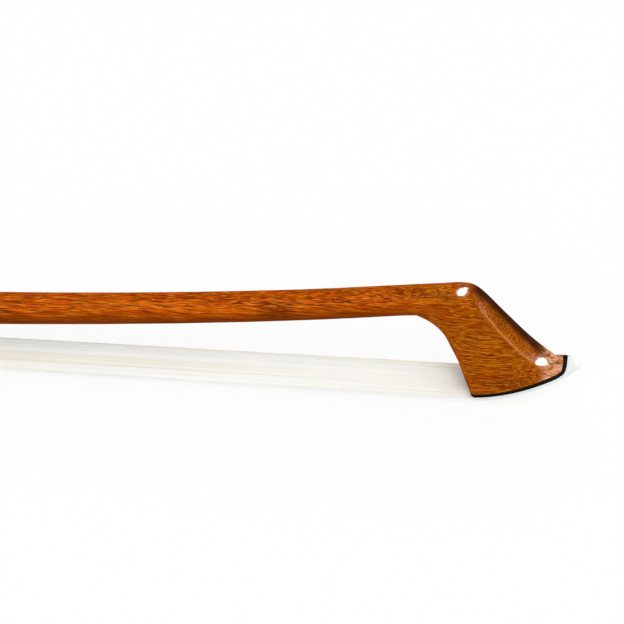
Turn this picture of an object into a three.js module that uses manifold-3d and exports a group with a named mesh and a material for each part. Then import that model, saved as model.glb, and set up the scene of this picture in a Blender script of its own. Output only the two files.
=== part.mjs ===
// Violin bow, slackened as it is kept between uses. Millimetres, +X along the hair towards the head, +Z from
// the hair to the stick, and Y across the bow. The finished group stands on z = 0, centred on the origin.
import * as THREE from "three";
import { mergeVertices } from "three/addons/utils/BufferGeometryUtils.js";
import Module from "manifold-3d";

const wasm = await Module();
wasm.setup();

// Fits and mesh fineness
const glueLine = 0.06; // between glued or pressed faces
const runningFit = 0.12; // between faces that slide or turn on each other
const overrun = 3; // how far a cutting tool runs past what it cuts
const weldDistance = 1e-4;
const ringPoints = 32; // round every section of the stick, four to each facet of the handle
const roundSides = 24;
const curveSteps = 8;

// Stick, from its rear end face to the beak of the head
const stickLength = 729;
const handleFlats = 8.6; // across the flats of the octagonal handle, and the diameter where it turns round
const handleLength = 158; // the part with no camber, which the frog and the grip lie on
const roundRun = 21; // from the end of the octagon, under the grip's leather, to where the stick is round
const taperStart = 110;
const tipDiameter = 5.85; // just behind the head
const taperPower = 1.15;
const handleTilt = THREE.MathUtils.degToRad(3.2); // the slack handle leans towards the hair
const neckSlope = 0.168; // rise of the stick where it enters the head
const waistHeight = 6.4; // stick axis above the plate's underside at the middle of the camber
const camberReachShare = 0.27; // of the cambered length, how far the handle's straight line pulls the curve
const camberRings = 34;

// Head, whose own frame starts at the rear corner of its plate
const headLength = 20.8;
const headHeight = 25.3;
const headHalfWidth = 5.5; // at the rear of the plate
const neckStart = 15; // where the round stick begins to turn into the head
const neckAxisShare = 0.7965; // of the head's height
const ridgeShares = [
  [-0.53, 0.938], [-0.337, 0.968], [-0.168, 0.996], [-0.042, 0.99], [0.07, 0.917], [0.258, 0.737],
  [0.511, 0.504], [0.72, 0.347], [0.825, 0.29], [0.893, 0.326], [0.985, 0.266], [1.02, 0.19],
]; // top of the stick, brow, ridge and beak, as shares of the head's length and height
const throatShares = [
  [-0.56, 0.694], [-0.451, 0.642], [-0.359, 0.581], [-0.288, 0.518], [-0.235, 0.452], [-0.144, 0.324],
  [-0.082, 0.196], [-0.032, 0.097], [-0.007, 0.045], [0.042, -0.07], [0.07, -0.13], [0.085, -0.17],
]; // underside of the stick, throat and back of the head, paired with the ridge's points
const girthShares = [0.535, 0.541, 0.555, 0.585, 0.62, 0.7, 0.795, 0.9, 0.955, 0.99, 1, 1]; // half width there
// 0 is a round section, 1 has a flat back and cheeks
const squareShares = [0, 0.12, 0.35, 0.6, 0.8, 0.94, 1, 1, 1, 1, 1, 1];
// 0 is a section of the upper head, 1 is the plate's plan, and more than 1 is narrower still towards the beak
const planShares = [0, 0, 0, 0, 0, 0.05, 0.22, 0.6, 0.95, 1.3, 1.1, 1];
const depthShares = [
  0, 0, 0, 0.006, 0.035, 0.12, 0.22, 0.32, 0.42, 0.52, 0.62, 0.72, 0.82, 0.87, 0.915, 0.96, 1,
]; // from the back of the head to its ridge
const backShares = [0, 0.4, 0.76, 0.93, 1]; // across the flat back
const creaseShare = 0.82; // where the cheek meets the chamfer that runs up to the ridge
const cheekTaperShare = 0.12;
const planPower = 2.2;
const planRoundness = 0.8;
const ringsPerStation = 3;
const blankStation = 5; // the liner and the plate are cut from the head's rings below this one

// Face of the head, its ebony liner and its bone plate
const faceHeight = 1.45;
const faceShares = [
  [-0.25, -0.01], [0.03, 0], [0.25, 0.027], [0.48, 0.071],
  [0.69, 0.125], [0.785, 0.155], [0.82, 0.19], [0.828, 0.34],
]; // the wood's lower edge, which turns up behind the beak
const facePoints = 18;
const linerThickness = 0.75;
const beakShares = [[0.828, 0.32], [0.87, 0.33], [0.93, 0.32], [1.0, 0.262]];
const keelShares = [
  [0.985, 0.225], [0.88, 0.182], [0.68, 0.118], [0.48, 0.068], [0.25, 0.02], [0.12, 0.005], [0, 0.001],
]; // the plate's underside, from the beak back to its rear corner
const keelPoints = 14;

// Mortise of the head, with its plug and hair knot
const headMortiseRear = 4.2;
const headMortiseLength = 6;
const headMortiseWidth = 5.8;
const headMortiseTop = 8;
const plugTop = 3.4;
const plugDrop = 1.1; // how far the plug stands below the plate's underside
const knotLength = 2.8;
const knotWidth = 4.8;
const knotHeight = 2.2;
const knotRibs = 4;
const knotGrooveShare = 0.9;

// Hair
const hairThickness = 0.6;
const hairHeadWidth = 9.4;
const hairMiddleWidth = 7.4;
const hairFrogWidth = 9;
const hairMortiseWidth = 5.4;
const bundleWidth = 3.4;
const bundleThickness = 1.3;
const hairGap = 0.1;
const hairSpanSteps = 8;

// Frog, whose own frame is the handle's: x from the end of the stick, z from its axis
const frogRear = 10; // at its slackest, away from the end of the stick
const screwPitch = 0.7;
const screwTurns = 8;
const frogLength = 46;
const frogDepth = 21.8; // stick axis to the underside of the frog
const frogTopHalfWidth = 5.15;
const frogBaseHalfWidth = 6.3;
const frogCheekTop = 2.6; // below the stick's axis
const frogEdge = 0.7; // chamfer along the base
const throatRadius = 3.7;
const throatPlace = 36.6; // centre of the throat, from the rear of the frog
const throatDrop = 11.6; // and below the stick's axis
const thumbSetback = 1; // of the thumb projection behind the ferrule's front
const thumbNose = 2.2;
const heelHollow = 3.6;
const heelTopInset = 1.2;
const ferruleLength = 10;
const ferruleWall = 0.5;
const ferruleHeight = 6.7;
const ferruleHalfWidth = 6.6;
const ferruleSide = 2.6; // straight part of its sides
const eyePearlRadius = 2.5;
const eyeRingRadius = 3.5;
const eyeDepth = 1.1;
const eyePlace = 21;
const eyeDrop = 12.2;

// Silver and pearl of the frog's base and back
const heelPlateThickness = 0.8;
const heelBaseLength = 9;
const heelBackHeight = 12;
const pearlThickness = 1;
const backingThickness = 1.1;
const slideWidth = 8.8;
const dovetail = 0.5;
const pinRadius = 0.55;
const pinLength = 3;
const pinPlaces = [2.6, 6.8];

// Underslide, its screws, and the eyelet that the adjusting screw draws along
const underslideThickness = 0.45;
const underslideInset = 0.6;
const underslideScrewRadius = 0.85;
const underslideScrewLength = 2.2;
const underslideScrewShares = [0.11, 0.87]; // of the thumb projection's reach
const eyeletPlace = 20;
const eyeletLength = 5;
const eyeletWidth = 3.2;
const eyeletTop = 2.3;
const eyeletShankRadius = 1.5;
const eyeletShankDepth = 6;
const stickMortiseRear = 19;
const stickMortiseFront = 34.5;
const stickMortiseWidth = 3.7;
const stickMortiseTop = 2.7;

// Hair lock of the frog
const frogMortiseRear = 23.5;
const frogMortiseLength = 7.6;
const frogMortiseDepth = 7.2;
const frogMortiseWidth = 6.8;
const frogPlugHeight = 2.2;
const wedgeLength = 7.5;
const wedgeTip = 0.5;

// Adjusting screw and button
const screwRadius = 1.45;
const pilotRadius = 1.15;
const screwThreadEnd = 37;
const screwLength = 47;
const boreClearance = 0.2;
const nippleRadius = 2.7;
const nippleLength = 2.5;
const buttonFlats = 8.8;
const collarLength = 3.6;
const coreLength = 7;
const capLength = 3.8;
const buttonPearlRadius = 2.2;
const buttonPearlDepth = 1;
const tangDepth = 5;
const buttonEdge = 0.4;

// Grip
const leatherGap = 2; // in front of the slack frog
const leatherLength = 24;
const leatherProfile = [[0, 0.45], [0.06, 1.05], [0.25, 1.3], [0.5, 0.95], [0.95, 0.8], [1, 0.45]];
const windingLength = 72;
const windingThickness = 0.5;
const bandLength = 4;
const bandThickness = 0.65;
const bandEdge = 0.25;

// A named mesh of one material.
function piece(name, geometry, material) {
  const mesh = new THREE.Mesh(geometry, material);
  mesh.name = name;
  return mesh;
}

// A closed three.js geometry as a solid that can be cut and joined.
function solid(geometry) {
  const flat = geometry.index ? geometry.toNonIndexed() : geometry;
  const bare = new THREE.BufferGeometry().setAttribute("position", flat.getAttribute("position"));
  const merged = mergeVertices(bare, weldDistance);
  return new wasm.Manifold(
    new wasm.Mesh({
      numProp: 3,
      vertProperties: merged.attributes.position.array,
      triVerts: new Uint32Array(merged.index.array),
    }),
  );
}

// A solid's surface as a three.js geometry.
function surface(manifold) {
  const mesh = manifold.getMesh();
  return new THREE.BufferGeometry()
    .setAttribute("position", new THREE.BufferAttribute(new Float32Array(mesh.vertProperties), 3))
    .setIndex(new THREE.BufferAttribute(new Uint32Array(mesh.triVerts), 1));
}

// What is left of a geometry once the others are cut away.
function cut(base, ...tools) {
  return surface(tools.reduce((left, tool) => left.subtract(solid(tool)), solid(base)));
}

// What all the geometries share.
function common(base, ...others) {
  return surface(others.reduce((left, other) => left.intersect(solid(other)), solid(base)));
}

// Geometries joined into one.
function joined(base, ...others) {
  return surface(others.reduce((left, other) => left.add(solid(other)), solid(base)));
}

// A closed skin through rings of points, all of one count, with flat ends.
function loft(rings) {
  const count = rings[0].length;
  const points = rings.flat();
  const faces = [];
  for (let i = 0; i + 1 < rings.length; i++)
    for (let k = 0; k < count; k++) {
      const a = i * count + k;
      const b = i * count + ((k + 1) % count);
      faces.push(a, b, b + count, a, b + count, a + count);
    }
  for (const [start, ring] of [[0, rings[0]], [points.length - count, rings.at(-1)]]) {
    const centre = points.length;
    points.push(ring.reduce((sum, p) => sum.add(p), new THREE.Vector3()).divideScalar(count));
    for (let k = 0; k < count; k++) {
      const a = start + k;
      const b = start + ((k + 1) % count);
      faces.push(...(start === 0 ? [centre, b, a] : [centre, a, b]));
    }
  }
  return new THREE.BufferGeometry().setFromPoints(points).setIndex(faces);
}

// A side outline in x and z, given thickness across the bow.
function acrossBow(outline, width) {
  const shape = outline instanceof THREE.Shape ? outline : new THREE.Shape(outline);
  return new THREE.ExtrudeGeometry(shape, { depth: width, bevelEnabled: false, curveSegments: curveSteps })
    .rotateX(Math.PI / 2)
    .translate(0, width / 2, 0);
}

// A cross section in y and z, run along x between two places, with chamfered ends if asked.
function alongBow(section, from, to, chamfer = 0) {
  const shape = section instanceof THREE.Shape ? section : new THREE.Shape(section);
  const settings = {
    depth: to - from - 2 * chamfer,
    bevelEnabled: chamfer > 0,
    bevelThickness: chamfer,
    bevelSize: chamfer,
    bevelOffset: -chamfer,
    bevelSegments: 1,
    curveSegments: curveSteps,
  };
  const axes = [new THREE.Vector3(0, 1, 0), new THREE.Vector3(0, 0, 1), new THREE.Vector3(1, 0, 0)];
  return new THREE.ExtrudeGeometry(shape, settings)
    .applyMatrix4(new THREE.Matrix4().makeBasis(...axes))
    .translate(from + chamfer, 0, 0);
}

// A block between two corners.
function block(x0, x1, y0, y1, z0, z1) {
  return new THREE.BoxGeometry(x1 - x0, y1 - y0, z1 - z0).translate((x0 + x1) / 2, (y0 + y1) / 2, (z0 + z1) / 2);
}

// A round bar along x.
function rodAlong(radius, from, to) {
  return new THREE.CylinderGeometry(radius, radius, to - from, roundSides)
    .rotateZ(Math.PI / 2)
    .translate((from + to) / 2, 0, 0);
}

// A round bar across the bow, on one side of it.
function rodAcross(radius, x, z, from, to) {
  return new THREE.CylinderGeometry(radius, radius, to - from, roundSides).translate(x, (from + to) / 2, z);
}

// A round bar along z.
function rodUp(radius, x, from, to) {
  return new THREE.CylinderGeometry(radius, radius, to - from, roundSides)
    .rotateX(Math.PI / 2)
    .translate(x, 0, (from + to) / 2);
}

// An octagon across its flats, in y and z, with a flat at the top and one at the bottom.
function octagon(flats) {
  const corner = flats / 2 / Math.cos(Math.PI / 8);
  return Array.from({ length: 8 }, (_, k) => {
    const angle = (k + 0.5) * (Math.PI / 4);
    return new THREE.Vector2(corner * Math.cos(angle), corner * Math.sin(angle));
  });
}

// Places where the handle meets the bow's frame
const hairLevel = -hairGap - hairThickness / 2;
const ferruleFront = frogRear + frogLength;
const ferruleRear = ferruleFront - ferruleLength;
const hairExitDepth = frogDepth - ferruleWall - hairGap - hairThickness / 2;
const handleHeight = hairLevel + ferruleFront * Math.sin(handleTilt) + hairExitDepth * Math.cos(handleTilt);
const thumbReach = frogLength - thumbSetback;
const underslideScrewPlaces = underslideScrewShares.map((share) => share * thumbReach);
const leatherStart = frogRear + thumbReach + leatherGap;
const octagonEnd = leatherStart;
const roundStart = octagonEnd + roundRun;
const headStart = stickLength - headLength;
const tenonLift = pearlThickness + backingThickness + hairThickness + 2 * hairGap; // roof of the hair's channel
const lean = new THREE.Matrix4().makeRotationY(handleTilt).setPosition(0, 0, handleHeight);
const leatherEnd = leatherStart + leatherLength;
const windingStart = leatherEnd + glueLine;
const windingEnd = windingStart + windingLength;

// A point of the handle's frame in the bow's frame.
function fromHandle(x, y, z) {
  return new THREE.Vector3(x, y, z).applyMatrix4(lean);
}

// Diameter of the stick at a distance along it.
function stickDiameter(x) {
  const share = THREE.MathUtils.clamp((headStart - neckStart - x) / (headStart - neckStart - taperStart), 0, 1);
  return tipDiameter + (handleFlats - tipDiameter) * share ** taperPower;
}

// How much of the octagon is left at a distance along the stick.
function facetShare(x) {
  return THREE.MathUtils.clamp((roundStart - x) / (roundStart - octagonEnd), 0, 1);
}

// The cambered line of the stick from the handle to the neck.
function camberLine() {
  const start = fromHandle(handleLength, 0, 0);
  const end = new THREE.Vector3(headStart - neckStart, 0, neckAxisShare * headHeight);
  const reach = (end.x - start.x) * camberReachShare;
  const pull = start.clone().add(new THREE.Vector3(reach, 0, -reach * Math.tan(handleTilt)));
  const rise = (4 * end.z + start.z + 3 * pull.z - 8 * waistHeight) / 3;
  return new THREE.CubicBezierCurve3(
    start,
    pull,
    end.clone().sub(new THREE.Vector3(rise / neckSlope, 0, rise)),
    end,
  );
}

// One ring of the stick, square to its line: an octagon where the facets' share is 1, and a circle where it is 0.
function stickRing(centre, slope, diameter, facets) {
  const up = new THREE.Vector3(-slope, 0, 1).normalize();
  return Array.from({ length: ringPoints }, (_, k) => {
    const angle = (2 * Math.PI * k) / ringPoints;
    const off = ((angle + Math.PI / 8) % (Math.PI / 4)) - Math.PI / 8;
    const radius = (diameter / 2) * THREE.MathUtils.lerp(1, 1 / Math.cos(off), facets);
    return centre
      .clone()
      .addScaledVector(new THREE.Vector3(0, 1, 0), radius * Math.sin(angle))
      .addScaledVector(up, -radius * Math.cos(angle));
  });
}

// A ring round the handle, some way off its surface, in the handle's own frame.
function handleRing(x, off) {
  return stickRing(new THREE.Vector3(x, 0, 0), 0, stickDiameter(x) + 2 * off, facetShare(x));
}

// A table's row at a place between its first, at 0, and its last, at 1, on a smooth curve.
function tableAt(table, place) {
  const asVector = (row) => (Array.isArray(row) ? new THREE.Vector3(row[0], 0, row[1]) : new THREE.Vector3(row));
  const rows = table.map(asVector);
  return new THREE.CatmullRomCurve3(rows, false, "catmullrom", 0.5).getPoint(place);
}

// Points on a smooth line through a table of the head's shares, above a height.
function headLine(table, base, count) {
  const points = table.map(([x, z]) => new THREE.Vector2(headStart + x * headLength, base + z * headHeight));
  return new THREE.SplineCurve(points).getPoints(count);
}

// Half width of the plate's plan, from its square rear at 0 to its beak at 1.
function planWidth(depth) {
  return (1 - THREE.MathUtils.clamp(depth, 0, 1) ** planPower) ** planRoundness;
}

// Half width of the head's upper section: a flat back, nearly flat cheeks, and chamfers that meet in the ridge.
function bodyWidth(depth) {
  const cheek = 1 - cheekTaperShare * (depth / creaseShare) ** 2;
  return depth <= creaseShare ? cheek : ((1 - cheekTaperShare) * (1 - depth)) / (1 - creaseShare);
}

// One ring of the head, from the back of the section round one cheek to the ridge and home by the other.
function headRing(place) {
  const size = new THREE.Vector3(headLength, 1, headHeight);
  const outer = tableAt(ridgeShares, place).multiply(size);
  const inner = tableAt(throatShares, place).multiply(size);
  const girth = tableAt(girthShares, place).x * headHalfWidth;
  const square = THREE.MathUtils.clamp(tableAt(squareShares, place).x, 0, 1);
  const plan = Math.max(0, tableAt(planShares, place).x);
  const half = depthShares.map((depth, k) => {
    const angle = (Math.PI * k) / (depthShares.length - 1);
    const across = THREE.MathUtils.lerp(bodyWidth(depth), planWidth(depth), plan) * (backShares[k] ?? 1);
    const y = girth * THREE.MathUtils.lerp(Math.sin(angle), across, square);
    const point = inner.clone().lerp(outer, THREE.MathUtils.lerp((1 - Math.cos(angle)) / 2, depth, square));
    return new THREE.Vector3(headStart + point.x, k === depthShares.length - 1 ? 0 : y, point.z);
  });
  const back = half.slice(1, -1).reverse().map((p) => new THREE.Vector3(p.x, -p.y, p.z));
  return [...half, ...back];
}

// The rings of the head from one station of its tables to the last.
function headRings(from) {
  const last = ridgeShares.length - 1;
  const count = (last - from) * ringsPerStation;
  return Array.from({ length: count + 1 }, (_, i) => headRing((from + i / ringsPerStation) / last));
}

// The rings of the stick from its rear end to the neck.
function stickRings() {
  const places = [0, octagonEnd, roundStart, taperStart, handleLength];
  const rings = places.map((x) => handleRing(x, 0).map((p) => p.applyMatrix4(lean)));
  const line = camberLine();
  for (let i = 1; i <= camberRings; i++) {
    const centre = line.getPoint(i / camberRings);
    const tangent = line.getTangent(i / camberRings);
    rings.push(stickRing(centre, tangent.z / tangent.x, stickDiameter(centre.x), 0));
  }
  return rings;
}

// A line moved to its right-hand side by a distance.
function offsetLine(points, distance) {
  return points.map((p, i) => {
    const along = points[Math.min(i + 1, points.length - 1)].clone().sub(points[Math.max(i - 1, 0)]).normalize();
    return new THREE.Vector2(p.x + along.y * distance, p.y - along.x * distance);
  });
}

// Everything below the wood's lower edge and in front of its nose, moved down and forward by a distance.
function beyondFace(distance) {
  const edge = offsetLine(headLine(faceShares, faceHeight, facePoints), distance);
  const nose = edge.at(-1);
  const right = headStart + headLength + overrun;
  const outline = [
    ...edge,
    new THREE.Vector2(nose.x, nose.y + overrun),
    new THREE.Vector2(right, nose.y + overrun),
    new THREE.Vector2(right, -2 * overrun),
    new THREE.Vector2(edge[0].x, -2 * overrun),
  ];
  return acrossBow(outline.reverse(), 4 * headHalfWidth);
}

// The mortise that the hair knot and the plug fill, open at the face, or a smaller block inside it.
function headMortise(clearance) {
  const rear = headStart + headMortiseRear;
  const half = headMortiseWidth / 2 - clearance;
  return block(
    rear + clearance,
    rear + headMortiseLength - clearance,
    -half,
    half,
    -2 * overrun,
    headMortiseTop - clearance,
  );
}

function makeStick() {
  const blank = loft([...stickRings(), ...headRings(0)]);
  const nipple = rodAlong(nippleRadius, -nippleLength, overrun).applyMatrix4(lean);
  const radius = screwRadius + boreClearance;
  const mortise = block(
    stickMortiseRear,
    stickMortiseFront,
    -stickMortiseWidth / 2,
    stickMortiseWidth / 2,
    -handleFlats,
    stickMortiseTop,
  );
  const inHandle = [
    rodAlong(radius, -nippleLength - overrun, stickMortiseRear + overrun),
    rodAlong(radius, stickMortiseFront - overrun, screwThreadEnd + boreClearance),
    rodAlong(pilotRadius + boreClearance, stickMortiseFront - overrun, screwLength + 2 * boreClearance),
    mortise,
  ];
  const leaning = inHandle.map((tool) => tool.applyMatrix4(lean));
  return cut(joined(blank, nipple), ...leaning, beyondFace(0), headMortise(0));
}

// The lower head as a blank, from which the liner and the plate are cut flush with the wood.
function headBlank() {
  return loft(headRings(blankStation));
}

function makeLiner() {
  const layer = common(headBlank(), beyondFace(glueLine));
  return cut(layer, beyondFace(linerThickness), headMortise(-glueLine));
}

function makePlate() {
  const keel = headLine(keelShares, 0, keelPoints);
  const crown = headLine(beakShares, 0, curveSteps);
  const outline = [
    ...crown,
    ...keel,
    new THREE.Vector2(headStart - overrun, 0),
    new THREE.Vector2(headStart - overrun, faceHeight + beakShares[0][1] * headHeight),
  ];
  const sides = acrossBow(outline, 4 * headHalfWidth);
  const body = common(headBlank(), beyondFace(linerThickness + glueLine), sides);
  return cut(body, headMortise(-glueLine));
}

// The wooden plug that locks the hair in the head. Its foot stands a little proud of the plate.
function makeHeadPlug() {
  const rear = headStart + headMortiseRear + hairThickness + 2 * hairGap;
  const front = headStart + headMortiseRear + headMortiseLength - hairGap;
  const outline = new THREE.Shape()
    .moveTo(front, plugTop)
    .lineTo(rear, plugTop)
    .lineTo(rear, -plugDrop / 2)
    .quadraticCurveTo((rear + front) / 2, -plugDrop - plugDrop / 2, front, plugDrop / 2);
  return acrossBow(outline, headMortiseWidth - 2 * hairGap);
}

// A knot of thread round the end of the hair: a ribbed collar with a slot that the bundle passes through.
function makeKnot(x, z) {
  const rings = [];
  for (let i = 0; i <= 2 * knotRibs; i++) {
    const swell = i % 2 ? 1 : knotGrooveShare;
    const height = z + (i / (2 * knotRibs) - 1 / 2) * knotHeight;
    rings.push(
      Array.from({ length: roundSides }, (_, k) => {
        const angle = (2 * Math.PI * k) / roundSides;
        return new THREE.Vector3(
          x + (knotLength / 2) * swell * Math.cos(angle),
          (knotWidth / 2) * swell * Math.sin(angle),
          height,
        );
      }),
    );
  }
  const slot = block(
    x - bundleThickness / 2 - hairGap,
    x + bundleThickness / 2 + hairGap,
    -bundleWidth / 2 - hairGap,
    bundleWidth / 2 + hairGap,
    z - knotHeight,
    z + knotHeight,
  );
  return cut(loft(rings), slot);
}

// Places along the hair, in the bow's frame: middle, width and thickness of each section.
function hairStations() {
  const wall = headStart + headMortiseRear;
  const knotX = wall + hairGap + knotLength / 2;
  const knotZ = (headMortiseTop + plugTop) / 2;
  const flat = hairThickness;
  const side = hairGap + flat / 2;
  const stations = [
    [knotX, knotZ + knotHeight / 2 + hairGap, bundleWidth, bundleThickness],
    [knotX, knotZ - knotHeight / 2, bundleWidth, bundleThickness],
    [wall + side, plugTop + side, hairMortiseWidth, flat],
    [wall + side, 0, hairMortiseWidth, flat],
    [wall + side * Math.SQRT1_2, -side * Math.SQRT1_2, hairMortiseWidth, flat],
    [wall, -side, hairMortiseWidth, flat],
    [headStart, -side, hairHeadWidth, flat],
  ];
  const exit = fromHandle(ferruleFront, 0, -hairExitDepth);
  for (let i = 1; i < hairSpanSteps; i++) {
    const share = i / hairSpanSteps;
    const waist = hairMiddleWidth * Math.sin(Math.PI * share);
    const ends = THREE.MathUtils.lerp(hairHeadWidth, hairFrogWidth, share) * (1 - Math.sin(Math.PI * share));
    stations.push([THREE.MathUtils.lerp(headStart, exit.x, share), hairLevel, waist + ends, flat]);
  }
  const channel = -frogDepth + tenonLift - side;
  const frogWall = frogRear + frogMortiseRear + frogMortiseLength;
  const frogKnotX = frogWall - hairGap - knotLength / 2;
  const frogKnotZ = -frogDepth + tenonLift + frogMortiseDepth - hairGap - knotHeight / 2 - flat;
  const inHandle = [
    [ferruleFront, -hairExitDepth, hairFrogWidth, flat],
    [ferruleFront - wedgeLength, -hairExitDepth, hairFrogWidth, flat],
    [ferruleRear + flat / 2, channel, hairMortiseWidth, flat],
    [frogWall, channel, hairMortiseWidth, flat],
    [frogWall - side * Math.SQRT1_2, channel + side * (1 - Math.SQRT1_2), hairMortiseWidth, flat],
    [frogWall - side, channel + side, hairMortiseWidth, flat],
    [frogWall - side, channel + 2 * side + hairGap + frogPlugHeight, hairMortiseWidth, flat],
    [frogKnotX, frogKnotZ - knotHeight / 2, bundleWidth, bundleThickness],
    [frogKnotX, frogKnotZ + knotHeight / 2 + hairGap, bundleWidth, bundleThickness],
  ];
  for (const [x, z, width, thickness] of inHandle) {
    const point = fromHandle(x, 0, z);
    stations.push([point.x, point.z, width, thickness]);
  }
  return stations;
}

function makeHair() {
  const stations = hairStations();
  const rings = stations.map(([x, z, width, thickness], i) => {
    const before = stations[Math.max(i - 1, 0)];
    const after = stations[Math.min(i + 1, stations.length - 1)];
    const along = new THREE.Vector3(after[0] - before[0], 0, after[1] - before[1]).normalize();
    const across = new THREE.Vector3(0, 1, 0);
    const up = along.clone().cross(across);
    const corners = [[-1, -1], [1, -1], [1, 1], [-1, 1]];
    return corners.map(([u, v]) =>
      new THREE.Vector3(x, 0, z).addScaledVector(across, (u * width) / 2).addScaledVector(up, (v * thickness) / 2),
    );
  });
  return loft(rings);
}

// The frog's side, and the hollow line of its heel
function heelLine(inset) {
  const line = new THREE.QuadraticBezierCurve(
    new THREE.Vector2(frogRear, -frogDepth),
    new THREE.Vector2(frogRear + heelHollow, -frogDepth / 2),
    new THREE.Vector2(frogRear + heelTopInset, -frogCheekTop),
  );
  return offsetLine(line.getPoints(curveSteps), inset);
}

// The whole frog's side, from its heel to its thumb projection, with the ferrule's tenon at its full height.
function frogSide() {
  const heel = heelLine(0);
  const x = frogRear + throatPlace;
  const z = -throatDrop;
  const shape = new THREE.Shape().moveTo(heel[0].x, heel[0].y);
  const front = ferruleFront;
  shape.lineTo(front, -frogDepth);
  shape.lineTo(front, z - throatRadius);
  shape.lineTo(x, z - throatRadius);
  shape.absarc(x, z, throatRadius, -Math.PI / 2, Math.PI / 2, true);
  shape.lineTo(frogRear + thumbReach - thumbNose, z + throatRadius + thumbNose / 2);
  shape.quadraticCurveTo(
    frogRear + thumbReach,
    z + throatRadius + thumbNose / 2,
    frogRear + thumbReach,
    -frogCheekTop,
  );
  for (const p of heel.reverse().slice(0, -1)) shape.lineTo(p.x, p.y);
  return acrossBow(shape, 4 * frogBaseHalfWidth);
}

// The frog's cross section, wider at its base, with chamfered lower edges.
function frogSection() {
  const top = frogTopHalfWidth;
  const base = frogBaseHalfWidth;
  return [
    new THREE.Vector2(-top, -frogCheekTop),
    new THREE.Vector2(-base, -frogDepth + frogEdge),
    new THREE.Vector2(-base + frogEdge, -frogDepth),
    new THREE.Vector2(base - frogEdge, -frogDepth),
    new THREE.Vector2(base, -frogDepth + frogEdge),
    new THREE.Vector2(top, -frogCheekTop),
  ];
}

function frogEnvelope() {
  return common(frogSide(), alongBow(frogSection(), frogRear - overrun, ferruleFront + overrun));
}

// The ferrule's section: flat below, straight sides and a round top, shrunk by a distance.
function ferruleSection(inset) {
  const half = ferruleHalfWidth - inset;
  const low = -frogDepth + inset;
  const side = -frogDepth + ferruleSide;
  const high = -frogDepth + ferruleHeight - inset;
  const shape = new THREE.Shape().moveTo(-half, side).lineTo(-half, low).lineTo(half, low).lineTo(half, side);
  shape.absellipse(0, side, half, high - side, 0, Math.PI, false, 0);
  return shape;
}

// A dovetailed strip in the frog's base, between two depths below its underside.
function slideStrip(from, to, near, far, clearance) {
  const share = dovetail / (pearlThickness + backingThickness);
  const nearHalf = slideWidth / 2 + near * share - clearance;
  const farHalf = slideWidth / 2 + far * share - clearance;
  const section = [
    new THREE.Vector2(-nearHalf, -frogDepth + near),
    new THREE.Vector2(nearHalf, -frogDepth + near),
    new THREE.Vector2(farHalf, -frogDepth + far),
    new THREE.Vector2(-farHalf, -frogDepth + far),
  ];
  return alongBow(section, from, to);
}

// The channel that the slide's strips fill, from the heel plate to the ferrule.
function slideChannel() {
  const far = pearlThickness + backingThickness + glueLine;
  return slideStrip(frogRear + heelBaseLength, ferruleFront + overrun, -overrun, far, -glueLine);
}

// The frog's mortise, above the channel.
function frogMortise() {
  const rear = frogRear + frogMortiseRear;
  const half = frogMortiseWidth / 2;
  const low = -frogDepth + tenonLift;
  return block(rear, rear + frogMortiseLength, -half, half, low - overrun, low + frogMortiseDepth);
}

// The shallow hair channel from the mortise to the tenon.
function hairChannel() {
  const low = -frogDepth + tenonLift;
  const half = frogMortiseWidth / 2;
  const rear = frogRear + frogMortiseRear;
  return block(rear, ferruleFront + overrun, -half, half, low - overrun, low);
}

// What stands outside the ferrule's tenon at the front of the frog.
function outsideTenon() {
  const from = ferruleRear;
  const to = ferruleFront + overrun;
  const low = -frogDepth + tenonLift;
  const half = 2 * frogBaseHalfWidth;
  const around = block(from, to, -half, half, -2 * frogDepth, -frogDepth + ferruleHeight + glueLine);
  const core = common(
    alongBow(ferruleSection(ferruleWall + glueLine), from - overrun, ferruleFront - ferruleWall),
    block(from - overrun, to, -frogDepth, frogDepth, low, 0),
  );
  return cut(around, core);
}

// The seat of the stick in the frog's top, with room for the underslide.
function seat(off, from, to) {
  return alongBow(octagon(handleFlats + 2 * off), from, to);
}

// The hole that a heel pin passes through.
function pinHole(place) {
  return rodUp(pinRadius + glueLine, frogRear + place, -frogDepth - overrun, -frogDepth + pinLength);
}

// The two metal plates of the heel: the one on its base and the one up its back.
function heelBase() {
  const rear = frogRear + heelPlateThickness / 2;
  const plate = slideStrip(rear, frogRear + heelBaseLength - glueLine, 0, heelPlateThickness, glueLine);
  return cut(plate, heelBand(glueLine), ...pinPlaces.map((place) => pinHole(place)));
}

function heelBand(off) {
  const outer = heelLine(0);
  const inner = heelLine(heelPlateThickness + off);
  const half = slideWidth / 2 + dovetail / 2 + off;
  const band = acrossBow([...inner, ...outer.reverse()].reverse(), 2 * half);
  const top = -frogDepth + heelBackHeight + off;
  return common(band, block(frogRear - overrun, frogRear + 2 * heelHollow, -half, half, -frogDepth, top));
}

function makeFrog() {
  const low = -frogDepth;
  const tools = [
    seat(runningFit + underslideThickness + glueLine, frogRear - overrun, ferruleFront + overrun),
    slideChannel(),
    frogMortise(),
    outsideTenon(),
    slideStrip(frogRear - overrun, frogRear + heelBaseLength + overrun, -overrun, heelPlateThickness + glueLine, 0),
    heelBand(glueLine),
    rodUp(
      eyeletShankRadius + glueLine,
      frogRear + eyeletPlace,
      -handleFlats / 2 - eyeletShankDepth - glueLine,
      0,
    ),
  ];
  for (const sign of [-1, 1]) tools.push(eyeRod(eyeRingRadius + glueLine, glueLine, sign));
  for (const place of pinPlaces) {
    tools.push(rodUp(pinRadius + glueLine, frogRear + place, low, low + pinLength));
  }
  for (const place of underslideScrewPlaces)
    tools.push(
      rodUp(
        underslideScrewRadius + glueLine,
        frogRear + place,
        -handleFlats / 2 - underslideScrewLength - glueLine,
        0,
      ),
    );
  return cut(frogEnvelope(), ...tools, hairChannel());
}

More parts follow.
